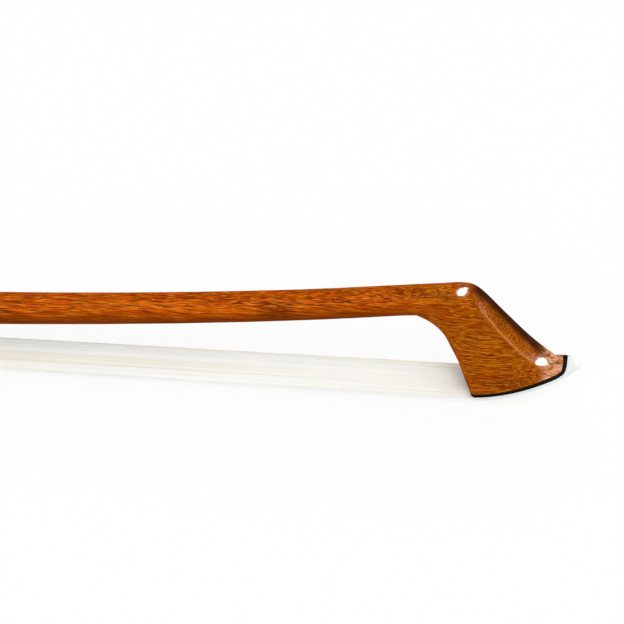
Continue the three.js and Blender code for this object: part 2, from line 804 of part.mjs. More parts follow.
// Half width of the frog's side at the height of its eyes
function eyeSide() {
  const share = (eyeDrop - frogCheekTop) / (frogDepth - frogEdge - frogCheekTop);
  return THREE.MathUtils.lerp(frogTopHalfWidth, frogBaseHalfWidth, share);
}

// A round bar that ends as deep in the frog's side as its eyes do.
function eyeRod(radius, deeper, sign) {
  const inner = sign * (eyeSide() - eyeDepth - deeper);
  const outer = sign * 2 * frogBaseHalfWidth;
  return rodAcross(radius, frogRear + eyePlace, -eyeDrop, Math.min(inner, outer), Math.max(inner, outer));
}

function makeEyeRing(sign) {
  const disc = common(frogEnvelope(), eyeRod(eyeRingRadius, 0, sign));
  return cut(disc, eyeRod(eyePearlRadius + glueLine, glueLine, sign));
}

function makeEyePearl(sign) {
  return common(frogEnvelope(), eyeRod(eyePearlRadius, 0, sign));
}

function makeFerrule() {
  const outer = alongBow(ferruleSection(0), ferruleRear + glueLine, ferruleFront);
  return cut(outer, alongBow(ferruleSection(ferruleWall), ferruleRear - overrun, ferruleFront + overrun));
}

// The wedge that spreads the hair inside the ferrule, thin at its inner end.
function makeWedge() {
  const high = -frogDepth + tenonLift - hairGap;
  const low = -hairExitDepth + hairThickness / 2 + hairGap;
  const outline = [
    new THREE.Vector2(ferruleFront - hairGap, low),
    new THREE.Vector2(ferruleFront - hairGap, high),
    new THREE.Vector2(ferruleFront - wedgeLength + wedgeTip, high),
    new THREE.Vector2(ferruleFront - wedgeLength + wedgeTip, low + wedgeTip),
  ];
  return acrossBow(outline.reverse(), hairFrogWidth);
}

function makeFrogPlug() {
  const rear = frogRear + frogMortiseRear + hairGap;
  const front = frogRear + frogMortiseRear + frogMortiseLength - hairThickness - 2 * hairGap;
  const low = -frogDepth + tenonLift;
  const half = frogMortiseWidth / 2 - hairGap;
  return block(rear, front, -half, half, low + hairGap, low + hairGap + frogPlugHeight);
}

function makeUnderslide() {
  const from = frogRear + heelTopInset + underslideInset;
  const to = frogRear + thumbReach - underslideInset;
  const shell = cut(
    seat(runningFit + underslideThickness, from, to),
    seat(runningFit, from - overrun, to + overrun),
    block(from - overrun, to + overrun, -handleFlats, handleFlats, -frogCheekTop - underslideInset / 2, handleFlats),
    rodUp(eyeletShankRadius + glueLine, frogRear + eyeletPlace, -handleFlats, 0),
    ...underslideScrewPlaces.map((place) => rodUp(underslideScrewRadius + glueLine, frogRear + place, -handleFlats, 0)),
  );
  return shell;
}

function makeUnderslideScrew(place) {
  const top = -handleFlats / 2 - runningFit;
  return rodUp(underslideScrewRadius, frogRear + place, -handleFlats / 2 - underslideScrewLength, top);
}

// The nut that the adjusting screw runs in: a block with a shank that is screwed into the frog.
function makeEyelet() {
  const x = frogRear + eyeletPlace;
  const top = -handleFlats / 2 - runningFit;
  const section = new THREE.Shape()
    .moveTo(-eyeletWidth / 2, top)
    .lineTo(eyeletWidth / 2, top)
    .lineTo(eyeletWidth / 2, eyeletTop - eyeletWidth / 2);
  section.absarc(0, eyeletTop - eyeletWidth / 2, eyeletWidth / 2, 0, Math.PI, false);
  const head = alongBow(section, x - eyeletLength / 2, x + eyeletLength / 2);
  const shank = rodUp(eyeletShankRadius, x, -handleFlats / 2 - eyeletShankDepth, 0);
  return cut(joined(head, shank), rodAlong(screwRadius + runningFit, x - handleFlats, x + handleFlats));
}

// Adjusting screw and button, along the handle's axis
const buttonFront = -runningFit;
const coreFront = buttonFront - collarLength - glueLine;
const capFront = coreFront - coreLength - glueLine;
const buttonRear = capFront - capLength;

function makeScrew() {
  return joined(
    rodAlong(screwRadius, coreFront - tangDepth, screwThreadEnd),
    rodAlong(pilotRadius, screwThreadEnd - overrun, screwLength),
  );
}

function buttonRing(rear, front) {
  return alongBow(octagon(buttonFlats), rear, front, buttonEdge);
}

function makeCollar() {
  const nippleRoom = rodAlong(nippleRadius + runningFit, -nippleLength - 2 * runningFit, overrun);
  return cut(
    buttonRing(coreFront + glueLine, buttonFront),
    nippleRoom,
    rodAlong(screwRadius + glueLine, coreFront - overrun, overrun),
  );
}

function makeCore() {
  return cut(
    buttonRing(capFront + glueLine, coreFront),
    rodAlong(screwRadius + glueLine, coreFront - tangDepth - glueLine, overrun),
  );
}

function makeCap() {
  return cut(
    buttonRing(buttonRear, capFront),
    rodAlong(buttonPearlRadius + glueLine, buttonRear - overrun, buttonRear + buttonPearlDepth + glueLine),
  );
}

function makeButtonPearl() {
  return rodAlong(buttonPearlRadius, buttonRear, buttonRear + buttonPearlDepth);
}

// A sleeve round the handle with the given thickness at each share of its length.
function sleeve(start, length, profile) {
  const places = profile.map(([share]) => start + share * length);
  const bends = [octagonEnd, roundStart, taperStart].filter((x) => x > start && x < start + length);
  const outerRings = [...places, ...bends].sort((a, b) => a - b);
  const thickness = (x) => {
    const i = Math.max(1, places.findIndex((place) => place >= x));
    return THREE.MathUtils.mapLinear(x, places[i - 1], places[i], profile[i - 1][1], profile[i][1]);
  };
  const inner = [start - overrun, ...bends, start + length + overrun];
  return cut(
    loft(outerRings.map((x) => handleRing(x, glueLine + thickness(x)))),
    loft(inner.map((x) => handleRing(x, glueLine))),
  );
}

function makeWinding() {
  const edge = windingThickness / windingLength / 2;
  const low = windingThickness / 2;
  const rows = [[0, low], [edge, windingThickness], [1 - edge, windingThickness], [1, low]];
  return sleeve(windingStart, windingLength, rows);
}

function makeBand() {
  const edge = bandEdge / bandLength;
  const low = bandThickness - bandEdge;
  return sleeve(
    windingEnd + glueLine,
    bandLength,
    [[0, low], [edge, bandThickness], [1 - edge, bandThickness], [1, low]],
  );
}

// A material of one colour, roughness and metalness.
function material(colour, roughness, metalness) {
  return new THREE.MeshStandardMaterial({ color: colour, roughness, metalness });
}

const wood = () => material(0xa85412, 0.35, 0);
const ebony = () => material(0x17120f, 0.4, 0);
const bone = () => material(0xefeee6, 0.4, 0);
const silver = () => material(0xc9c8c4, 0.28, 1);
const brass = () => material(0xb08d45, 0.4, 1);
const steel = () => material(0x8d8f92, 0.35, 1);
const pearl = () => material(0xdfe3e4, 0.2, 0);
const hair = () => material(0xe9e8dc, 0.55, 0);
const thread = () => material(0x8b2b22, 0.8, 0);
const plugWood = () => material(0xcfa873, 0.7, 0);
const leather = () => material(0x2a1c15, 0.65, 0);

const bow = new THREE.Group();
bow.name = "violin_bow";

const headKnotX = headStart + headMortiseRear + hairGap + knotLength / 2;
bow.add(
  piece("stick", makeStick(), wood()),
  piece("head_liner", makeLiner(), ebony()),
  piece("head_plate", makePlate(), bone()),
  piece("head_plug", makeHeadPlug(), plugWood()),
  piece("head_hair_knot", makeKnot(headKnotX, (headMortiseTop + plugTop) / 2), thread()),
  piece("hair_ribbon", makeHair(), hair()),
);

// Pieces that are shaped in the handle's frame and then leaned with it
const frogKnotX = frogRear + frogMortiseRear + frogMortiseLength - hairGap - knotLength / 2;
const frogKnotZ = -frogDepth + tenonLift + frogMortiseDepth - hairGap - knotHeight / 2 - hairThickness;
const slideFrom = frogRear + heelBaseLength + glueLine;
const slideTo = ferruleRear;
const pins = (place) => rodUp(pinRadius, frogRear + place, -frogDepth, -frogDepth + pinLength - glueLine);
const handlePieces = [
  piece("frog_block", makeFrog(), ebony()),
  piece("frog_ferrule", makeFerrule(), silver()),
  piece("frog_hair_wedge", makeWedge(), plugWood()),
  piece("frog_hair_plug", makeFrogPlug(), plugWood()),
  piece("frog_hair_knot", makeKnot(frogKnotX, frogKnotZ), thread()),
  piece("slide_pearl", slideStrip(slideFrom, slideTo, 0, pearlThickness - glueLine, glueLine), pearl()),
  piece(
    "slide_backing",
    slideStrip(slideFrom, slideTo, pearlThickness, pearlThickness + backingThickness - glueLine, glueLine),
    ebony(),
  ),
  piece("heel_plate_base", heelBase(), silver()),
  piece("heel_plate_back", heelBand(0), silver()),
  ...pinPlaces.map((place, i) => piece(`heel_pin_${i + 1}`, pins(place), steel())),
  piece("eye_ring_right", makeEyeRing(-1), silver()),
  piece("eye_ring_left", makeEyeRing(1), silver()),
  piece("eye_pearl_right", makeEyePearl(-1), pearl()),
  piece("eye_pearl_left", makeEyePearl(1), pearl()),
  piece("underslide", makeUnderslide(), silver()),
  ...underslideScrewPlaces.map((place, i) =>
    piece(`underslide_screw_${i + 1}`, makeUnderslideScrew(place), steel()),
  ),
  piece("screw_eyelet", makeEyelet(), brass()),
  piece("adjusting_screw", makeScrew(), steel()),
  piece("button_collar", makeCollar(), silver()),
  piece("button_core", makeCore(), ebony()),
  piece("button_cap", makeCap(), silver()),
  piece("button_pearl", makeButtonPearl(), pearl()),
  piece("thumb_leather", sleeve(leatherStart, leatherLength, leatherProfile), leather()),
  piece("grip_winding", makeWinding(), silver()),
  piece("grip_end_band", makeBand(), leather()),
];
for (const mesh of handlePieces) {
  mesh.geometry.applyMatrix4(lean);
  bow.add(mesh);
}

// Stand the bow on z = 0, centred on the origin.
const box = new THREE.Box3().setFromObject(bow);
const middle = box.getCenter(new THREE.Vector3());
for (const mesh of bow.children) {
  mesh.geometry.translate(-middle.x, -middle.y, -box.min.z);
  mesh.geometry.computeVertexNormals();
}

export default bow;
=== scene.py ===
"""A violin bow, slackened as it is kept between uses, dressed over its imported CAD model.

Shapes are worked out in millimetres from the end of the stick, and put in the frame's metres at the end.
"""

import logging
import math
import random
from dataclasses import dataclass, field
from enum import Enum
from typing import Any, Iterable, Mapping, Optional, Sequence, Union

import bmesh
import bpy
from mathutils import Matrix, Vector


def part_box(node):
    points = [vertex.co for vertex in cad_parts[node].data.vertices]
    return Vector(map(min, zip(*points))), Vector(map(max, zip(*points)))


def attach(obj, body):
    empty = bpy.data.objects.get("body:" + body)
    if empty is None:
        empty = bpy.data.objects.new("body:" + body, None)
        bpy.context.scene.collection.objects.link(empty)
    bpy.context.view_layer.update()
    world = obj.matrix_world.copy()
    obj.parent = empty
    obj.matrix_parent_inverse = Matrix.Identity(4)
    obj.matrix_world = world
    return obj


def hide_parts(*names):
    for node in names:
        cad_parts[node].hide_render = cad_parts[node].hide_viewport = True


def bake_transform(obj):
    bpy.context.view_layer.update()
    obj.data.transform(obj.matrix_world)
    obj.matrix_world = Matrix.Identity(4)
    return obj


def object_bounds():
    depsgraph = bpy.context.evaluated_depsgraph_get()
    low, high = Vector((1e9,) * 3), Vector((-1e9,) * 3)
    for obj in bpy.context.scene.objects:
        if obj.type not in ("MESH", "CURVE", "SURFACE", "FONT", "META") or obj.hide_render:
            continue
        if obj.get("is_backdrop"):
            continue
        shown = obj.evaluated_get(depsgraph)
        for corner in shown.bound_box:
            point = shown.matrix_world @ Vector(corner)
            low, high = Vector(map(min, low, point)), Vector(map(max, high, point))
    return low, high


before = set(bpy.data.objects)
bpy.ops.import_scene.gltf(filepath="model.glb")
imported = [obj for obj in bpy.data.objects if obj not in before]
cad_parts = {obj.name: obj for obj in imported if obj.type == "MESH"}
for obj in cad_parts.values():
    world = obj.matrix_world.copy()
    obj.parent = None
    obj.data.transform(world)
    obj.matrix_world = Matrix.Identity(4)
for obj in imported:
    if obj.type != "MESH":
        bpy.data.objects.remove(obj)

LOG = logging.getLogger("violin_bow")
MM = 0.001
Colour = tuple[float, float, float]
Ring = list[Vector]
Vector3 = tuple[float, float, float]


class Body(Enum):
    """The bodies that a piece can ride on."""

    STICK = "stick"
    FROG = "frog"
    SCREW = "screw"


class Slot(Enum):
    """The record's finishes."""

    WOOD = "stick_wood"
    EBONY = "ebony"
    BONE = "bone"
    SILVER = "silver"
    BRASS = "brass"
    STEEL = "steel"
    PEARL = "pearl"
    HAIR = "hair"
    THREAD = "thread"
    PLUG = "plug_wood"
    LEATHER = "leather"


def paint(red: int, green: int, blue: int) -> Colour:
    """A colour as a screen shows it, 0 to 255, in the linear values of a shader."""
    shares = (value / 255 for value in (red, green, blue))
    return tuple(share / 12.92 if share <= 0.04 else ((share + 0.055) / 1.055) ** 2.4 for share in shares)


# Shader graphs


class Socket:
    """One output of a shader node, which is reckoned with as if it were a number."""

    def __init__(self, graph: "Graph", output: bpy.types.NodeSocket) -> None:
        """Keeps the graph and the node's output."""
        self.graph = graph
        self.output = output

    def _math(self, operation: str, first: Any, second: Any) -> "Socket":
        """A Math node on two numbers."""
        return self.graph.node("ShaderNodeMath", {"operation": operation}, {0: first, 1: second})

    def __add__(self, other: Any) -> "Socket":
        """self + other"""
        return self._math("ADD", self, other)

    def __radd__(self, other: Any) -> "Socket":
        """other + self"""
        return self._math("ADD", other, self)

    def __sub__(self, other: Any) -> "Socket":
        """self - other"""
        return self._math("SUBTRACT", self, other)

    def __rsub__(self, other: Any) -> "Socket":
        """other - self"""
        return self._math("SUBTRACT", other, self)

    def __mul__(self, other: Any) -> "Socket":
        """self * other"""
        return self._math("MULTIPLY", self, other)

    def __rmul__(self, other: Any) -> "Socket":
        """other * self"""
        return self._math("MULTIPLY", other, self)

    def between(self, low: float, high: float) -> "Socket":
        """0 below low, 1 above high, and smooth between them."""
        return self.graph.node(
            "ShaderNodeMapRange",
            {"interpolation_type": "SMOOTHSTEP"},
            {"Value": self, "From Min": low, "From Max": high},
        )


class Graph:
    """A tree of nodes."""

    def __init__(self, tree: bpy.types.NodeTree) -> None:
        """Empties the tree."""
        self.tree = tree
        self.tree.nodes.clear()

    def put(self, socket: bpy.types.NodeSocket, value: Any) -> None:
        """Links a socket to a value of the graph, or sets it."""
        if isinstance(value, Socket):
            self.tree.links.new(value.output, socket)
        elif socket.type == "RGBA":
            socket.default_value = (*value, 1.0)
        else:
            socket.default_value = value

    def add(
        self,
        kind: str,
        settings: Optional[Mapping[str, Any]] = None,
        inputs: Optional[Mapping[Union[int, str], Any]] = None,
    ) -> bpy.types.Node:
        """Makes a node of any type.

        Args:
            kind: The node's type.
            settings: What is set on the node itself, with a ramp's stops under "stops".
            inputs: Values or links of its sockets, by name or place.

        Returns:
            The node.
        """
        made = self.tree.nodes.new(kind)
        for name, value in (settings or {}).items():
            if name == "stops":
                self._stops(made.color_ramp, value)
            else:
                setattr(made, name, value)
        for name, value in (inputs or {}).items():
            self.put(made.inputs[name], value)
        return made

    def node(
        self,
        kind: str,
        settings: Optional[Mapping[str, Any]] = None,
        inputs: Optional[Mapping[Union[int, str], Any]] = None,
        output: Union[int, str] = 0,
    ) -> Socket:
        """Makes a node as add does, and gives one of its outputs."""
        return Socket(self, self.add(kind, settings, inputs).outputs[output])

    def seen(self) -> Socket:
        """1 for what is seen, straight, mirrored or through something, and 0 for light on a surface."""
        kinds = ("Is Camera Ray", "Is Glossy Ray", "Is Transmission Ray")
        camera, glossy, through = (self.node("ShaderNodeLightPath", output=kind) for kind in kinds)
        return camera + glossy + through

    @staticmethod
    def _stops(ramp: bpy.types.ColorRamp, stops: Sequence[tuple[float, Colour]]) -> None:
        """Sets the stops of a colour ramp."""
        while len(ramp.elements) < len(stops):
            ramp.elements.new(1.0)
        for element, (place, colour) in zip(ramp.elements, stops):
            element.position = place
            element.color = (*colour, 1.0)

    def place(self, along: float, across: float, up: float) -> Socket:
        """The place on the bow, counted in so many steps a millimetre on each axis."""
        here = self.node("ShaderNodeTexCoord", output="Object")
        scale = Vector((along, across, up)) / MM
        return self.node("ShaderNodeVectorMath", {"operation": "MULTIPLY"}, {0: here, 1: scale})

    def axis(self, name: str) -> Socket:
        """One coordinate of the place on the bow, in millimetres."""
        return self.node("ShaderNodeSeparateXYZ", inputs={0: self.place(1, 1, 1)}, output=name)

    def noise(self, where: Socket, scale: float = 1, detail: float = 2, wander: float = 0) -> Socket:
        """Smooth noise, about 0.5 on the whole."""
        inputs = {"Vector": where, "Scale": scale, "Detail": detail, "Distortion": wander}
        return self.node("ShaderNodeTexNoise", inputs=inputs)

    def cells(self, where: Socket, scale: float, feature: str = "F1") -> Socket:
        """Distance to the nearest of many scattered points, or to the edge between them."""
        return self.node("ShaderNodeTexVoronoi", {"feature": feature}, {"Vector": where, "Scale": scale})

    def mix(self, factor: Any, first: Any, second: Any, blend: str = "MIX") -> Socket:
        """Two colours mixed."""
        return self.node(
            "ShaderNodeMix",
            {"data_type": "RGBA", "blend_type": blend, "clamp_factor": True},
            {0: factor, 6: first, 7: second},
            output=2,
        )

    def near(self, spot: Vector, inner: float, outer: float) -> Socket:
        """1 within the inner distance of a spot, in millimetres, and 0 from the outer one on."""
        ends = {0: self.place(1, 1, 1), 1: spot}
        return self.node("ShaderNodeVectorMath", {"operation": "DISTANCE"}, ends, "Value").between(outer, inner)

    def facing(self, axis: str) -> Socket:
        """How far the surface faces along one axis, from -1 to 1."""
        normal = self.node("ShaderNodeNewGeometry", output="Normal")
        return self.node("ShaderNodeSeparateXYZ", inputs={0: normal}, output=axis)

    def bump(self, height: Socket, depth: float, strength: float = 1.0) -> Socket:
        """A bumped normal, from a height of 0 to 1 that stands for a depth in millimetres."""
        inputs = {"Height": height, "Distance": depth * MM, "Strength": strength}
        return self.node("ShaderNodeBump", inputs=inputs)


class Surface(Graph):
    """A material's nodes round one surface shader."""

    def __init__(self, name: str) -> None:
        """Makes a material with its surface shader and its output."""
        self.material = bpy.data.materials.new(name)
        self.material.use_nodes = True
        super().__init__(self.material.node_tree)
        self.shader = self.add("ShaderNodeBsdfPrincipled")
        self.plain = Socket(self, self.shader.outputs[0])
        self.out = self.add("ShaderNodeOutputMaterial", inputs={"Surface": self.plain})

    def set(self, **values: Any) -> None:
        """Sets or links the shader's own sockets, named with _ for a space."""
        for name, value in values.items():
            self.put(self.shader.inputs[name.replace("_", " ")], value)


# Finishes


@dataclass(frozen=True)
class Finish:
    """What a surface is made of."""

    slot: Slot

    def paint(self, graph: Surface) -> None:
        """Adds the finish's nodes to a graph."""
        raise NotImplementedError

    @property
    def name(self) -> str:
        """What the finish's material is called."""
        return f"{type(self).__name__.lower()}_{self.slot.value}"

    def material(self) -> bpy.types.Material:
        """The finish's material, made when it is first asked for."""
        if self.name not in bpy.data.materials:
            self.paint(Surface(self.name))
        return bpy.data.materials[self.name]


@dataclass(frozen=True)
class Varnished(Finish):
    """Pernambuco under a thin oil polish: streaks and flecks along the grain, golden on the head, with painted
    shade where the stick faces down and along the head's ridge, a painted highlight along the crease and a
    painted reflection behind the beak.
    """

    slot: Slot = Slot.WOOD
    stick_ground: Colour = paint(206, 88, 4)
    head_ground: Colour = paint(170, 88, 5)
    warm: Colour = paint(172, 62, 4)
    # shade is the darker figure of the grain, and also the painted shade where the stick faces down
    shade: Colour = paint(104, 40, 4)
    fleck: Colour = paint(100, 34, 4)
    # glint is the golden streak of the grain, and also the painted highlight along the head's crease
    glint: Colour = paint(222, 136, 26)
    # painted shade along the head's ridge
    painted_ridge_shade: Colour = paint(58, 26, 14)
    head_rear: float = 333.0  # where the stick's ground begins to turn into the head's, in the frame
    ridge: tuple[tuple[float, float], ...] = (
        (340.0, 27.3), (348.5, 27.1), (350.3, 26.6), (352.3, 24.9), (354.3, 22.5),
        (358.5, 17.5), (362.6, 12.9), (366.1, 9.8), (368.5, 8.9),
    )  # its line from the side, along and up
    # how far under the ridge the painted shade reaches, in millimetres
    ridge_depth: float = 1.6
    crease_depth: float = 3.2
    thick: tuple[Vector3, ...] = ((348.0, -1.0, 26.1), (364.1, -2.5, 9.2))  # where the polish has gathered
    # colour of the painted reflection behind the beak
    painted_reflection: Colour = paint(232, 176, 140)
    painted_reflection_from: float = 363.6  # where the painted reflection begins behind the beak
    tallest: float = 32.0

    def _under_ridge(self, graph: Graph) -> Socket:
        """Depth below the head's ridge, in millimetres."""
        x = graph.axis("X")
        first, last = self.ridge[0][0], self.ridge[-1][0]
        stops = [((a - first) / (last - first), (z / self.tallest,) * 3) for a, z in self.ridge]
        share = (x - first) * (1 / (last - first))
        height = graph.node("ShaderNodeValToRGB", {"stops": stops}, {0: share})
        return height * self.tallest - graph.axis("Z")

    def paint(self, graph: Surface) -> None:
        """Adds the wood's nodes to a graph."""
        on_head = graph.axis("X").between(self.head_rear, self.head_rear + 14)
        wave = (graph.noise(graph.place(0.25, 0.5, 0.5), detail=2) - 0.5) * (on_head * 0.75 + 0.25)
        bent = graph.node(
            "ShaderNodeVectorMath",
            {"operation": "ADD"},
            {0: graph.place(1, 1, 1), 1: graph.node("ShaderNodeCombineXYZ", inputs={1: wave, 2: wave})},
        )

        def along(length: float, width: float, detail: float, shift: float) -> Socket:
            """Noise drawn out along the grain, so long and so wide in millimetres."""
            scale = Vector((1 / length, 1 / width, 1 / width))
            parts = {0: bent, 1: scale, 2: (shift, shift, -shift)}
            where = graph.node("ShaderNodeVectorMath", {"operation": "MULTIPLY_ADD"}, parts)
            return graph.noise(where, detail=detail)

        def either(on_stick: Socket, at_head: Socket) -> Socket:
            """One value on the stick, which turns into another on the head."""
            return on_stick + (at_head - on_stick) * on_head

        ground = graph.mix(on_head, self.stick_ground, self.head_ground)
        ground = graph.mix(along(26, 2.2, 2, 3).between(0.46, 0.66) * 0.7, ground, self.warm)
        ground = graph.mix(along(11, 3.2, 3, 11).between(0.5, 0.72) * 0.7, ground, self.shade)
        ground = graph.mix(along(16, 0.5, 2, 31).between(0.5, 0.68) * 0.6, ground, self.warm)
        ground = graph.mix(along(4.5, 0.2, 2, 23).between(0.5, 0.64) * 0.8, ground, self.glint)
        flecks = either(along(7, 0.22, 3, 47), along(2.6, 0.18, 3, 47)).between(0.5, 0.61)
        ground = graph.mix(flecks * 0.82, ground, self.fleck)
        dark = either(along(14, 0.4, 2, 71), along(5, 0.3, 2, 71)).between(0.56, 0.67)
        ground = graph.mix(dark * 0.65, ground, self.shade)
        under = self._under_ridge(graph)
        # painted highlight: a faint lighter line of the glint colour along the head's crease
        crease = under.between(self.crease_depth - 0.8, self.crease_depth)
        crease = crease * under.between(self.crease_depth + 0.8, self.crease_depth)
        crease = crease * graph.axis("X").between(350, 354)
        ground = graph.mix(crease * 0.3, ground, self.glint)
        # painted shade: a dark band close under the head's ridge, on both chamfers
        ridge_shade_mask = under.between(self.ridge_depth, 0.5) * graph.axis("X").between(348.5, 351.0)
        ridge_shade_mask = ridge_shade_mask * graph.axis("X").between(368.0, 362.0)
        ground = graph.mix(ridge_shade_mask * 0.95, ground, self.painted_ridge_shade)
        # painted shade: darker where the surface faces down, mostly on the stick
        low = graph.facing("Z").between(0.75, -0.35) * (1 - on_head * 0.8)
        ground = graph.mix(low * 0.8, ground, self.shade)
        # painted reflection: pale pink streaks behind the beak, where its flat top would mirror the white
        # surroundings
        worn = graph.axis("X").between(self.painted_reflection_from, self.painted_reflection_from + 2.4)
        worn = worn * along(5, 0.45, 1, 83).between(0.34, 0.6)
        ground = graph.mix(worn * 0.85, ground, self.painted_reflection)
        fine = along(0.7, 0.2, 2, 53)
        brow, flare = (graph.near(Vector(spot), 0.4, 2.4) for spot in self.thick)
        full = ((brow + flare) * 1.5 - graph.noise(graph.place(6, 6, 6), detail=2)).between(0.0, 0.6)
        graph.set(
            Base_Color=ground,
            Roughness=0.45 + flecks * 0.15,
            Specular_IOR_Level=0.0,
            Coat_Weight=0.03 + full * 0.6,
            Coat_Roughness=0.16,
            Coat_IOR=1.25,
            Normal=graph.bump(1 - flecks * 0.4 - fine * 0.6, 0.012, 0.45),
        )


@dataclass(frozen=True)
class Polished(Finish):
    """Ebony or another close dark wood, with fine pores and a faint brown figure."""

    slot: Slot = Slot.EBONY
    ground: Colour = paint(24, 19, 17)
    figure: Colour = paint(48, 33, 24)
    gloss: float = 0.32
    shine: float = 0.1
    coat: float = 0.08

    @property
    def name(self) -> str:
        """What the finish's material is called, by its gloss."""
        return f"{super().name}_{round(self.gloss * 100)}"

    def paint(self, graph: Surface) -> None:
        """Adds the wood's nodes to a graph."""
        figure = graph.noise(graph.place(0.05, 0.5, 0.5), detail=3, wander=0.4).between(0.5, 0.8)
        pores = graph.noise(graph.place(0.7, 6, 6), detail=2).between(0.6, 0.72)
        wear = graph.noise(graph.place(0.2, 0.2, 0.2), detail=4)
        graph.set(
            Base_Color=graph.mix(figure * 0.8, self.ground, self.figure),
            Roughness=self.gloss + wear * 0.12 + pores * 0.15,
            Specular_IOR_Level=self.shine,
            Coat_Weight=self.coat - pores * self.coat,
            Coat_Roughness=0.12,
            Normal=graph.bump(1 - pores, 0.01, 0.4),
        )


@dataclass(frozen=True)
class Bone(Finish):
    """Bleached bone, faintly clouded, with fine lines along its length."""

    slot: Slot = Slot.BONE
    ground: Colour = paint(231, 235, 231)
    cloud: Colour = paint(220, 225, 217)
    line: Colour = paint(214, 214, 200)

    def paint(self, graph: Surface) -> None:
        """Adds the bone's nodes to a graph."""
        cloud = graph.noise(graph.place(0.14, 0.3, 0.3), detail=3).between(0.4, 0.75)
        lines = graph.noise(graph.place(0.25, 5, 5), detail=2).between(0.62, 0.75)
        colour = graph.mix(lines * 0.35, graph.mix(cloud * 0.6, self.ground, self.cloud), self.line)
        graph.set(
            Base_Color=colour,
            Roughness=0.42 + cloud * 0.12,
            Specular_IOR_Level=0.12,
            Normal=graph.bump(1 - lines, 0.006, 0.3),
        )


@dataclass(frozen=True)
class Metal(Finish):
    """A worked metal, finely scratched along the bow, with tarnish in its hollows."""

    slot: Slot = Slot.SILVER
    bright: Colour = paint(190, 189, 186)
    tarnish: Colour = paint(132, 126, 116)
    gloss: float = 0.2

    def paint(self, graph: Surface) -> None:
        """Adds the metal's nodes to a graph."""
        scratch = graph.noise(graph.place(0.35, 9, 9), detail=2)
        patch = graph.noise(graph.place(0.35, 0.35, 0.35), detail=4).between(0.5, 0.8)
        graph.set(
            Base_Color=graph.mix(patch * 0.55, self.bright, self.tarnish),
            Metallic=1.0,
            Roughness=self.gloss + scratch * 0.12 + patch * 0.14,
            Normal=graph.bump(scratch, 0.004, 0.35),
        )


@dataclass(frozen=True)
class Nacre(Finish):
    """Mother of pearl: pale layers that turn from rose to green and blue."""

    slot: Slot = Slot.PEARL
    rose: Colour = paint(232, 208, 214)
    green: Colour = paint(196, 226, 208)
    blue: Colour = paint(190, 206, 232)
    pale: Colour = paint(240, 240, 234)

    def paint(self, graph: Surface) -> None:
        """Adds the shell's nodes to a graph."""
        layers = graph.noise(graph.place(0.22, 0.5, 0.5), detail=3, wander=2.2)
        stops = [(0.3, self.blue), (0.42, self.pale), (0.5, self.rose), (0.58, self.green), (0.72, self.pale)]
        colour = graph.node("ShaderNodeValToRGB", {"stops": stops}, {0: layers})
        graph.set(
            Base_Color=colour,
            Roughness=0.14 + layers * 0.2,
            Coat_Weight=0.8,
            Coat_Roughness=0.05,
            Sheen_Weight=0.2,
            Normal=graph.bump(layers, 0.02, 0.3),
        )


@dataclass(frozen=True)
class Horsehair(Finish):
    """White horsehair: each hair a little yellower, greyer or browner than the next."""

    slot: Slot = Slot.HAIR
    pale: Colour = paint(251, 253, 251)
    straw: Colour = paint(245, 241, 224)
    grey: Colour = paint(234, 241, 233)
    tan: Colour = paint(238, 228, 208)

    def paint(self, graph: Surface) -> None:
        """Adds the hair's nodes to a graph."""
        strand = graph.noise(graph.place(0.004, 3.2, 1.5), detail=2)
        broad = graph.noise(graph.place(0.006, 0.7, 0.3), detail=1)
        colour = graph.mix(strand.between(0.45, 0.7) * 0.6, self.pale, self.grey)
        colour = graph.mix(broad.between(0.45, 0.7) * 0.6, colour, self.straw)
        rare = graph.noise(graph.place(0.01, 5, 2), detail=1).between(0.64, 0.74)
        graph.set(
            Base_Color=graph.mix(rare * 0.4, colour, self.tan),
            Roughness=0.5 + strand * 0.2,
            Specular_IOR_Level=0.1,
            Normal=graph.bump(graph.noise(graph.place(0.5, 8, 8), detail=1), 0.01, 0.3),
        )


@dataclass(frozen=True)
class Thread(Finish):
    """Waxed linen thread, twisted."""

    slot: Slot = Slot.THREAD
    ground: Colour = paint(142, 44, 34)
    shade: Colour = paint(84, 22, 18)

    def paint(self, graph: Surface) -> None:
        """Adds the thread's nodes to a graph."""
        twist = graph.noise(graph.place(4, 4, 9), detail=2)
        graph.set(
            Base_Color=graph.mix(twist.between(0.4, 0.7), self.ground, self.shade),
            Roughness=0.6 + twist * 0.2,
            Sheen_Weight=0.3,
            Normal=graph.bump(twist, 0.04, 0.6),
        )


@dataclass(frozen=True)
class Softwood(Finish):
    """Unvarnished maple or willow, cut across for plugs and wedges."""

    slot: Slot = Slot.PLUG
    ground: Colour = paint(214, 178, 126)
    ring: Colour = paint(166, 122, 76)

    def paint(self, graph: Surface) -> None:
        """Adds the wood's nodes to a graph."""
        bands = graph.noise(graph.place(0.4, 2.4, 0.25), detail=2, wander=0.3)
        fibres = graph.noise(graph.place(4, 8, 0.8), detail=2)
        graph.set(
            Base_Color=graph.mix(bands.between(0.45, 0.65) * 0.8, self.ground, self.ring),
            Roughness=0.62 + fibres * 0.2,
            Normal=graph.bump(fibres, 0.03, 0.5),
        )


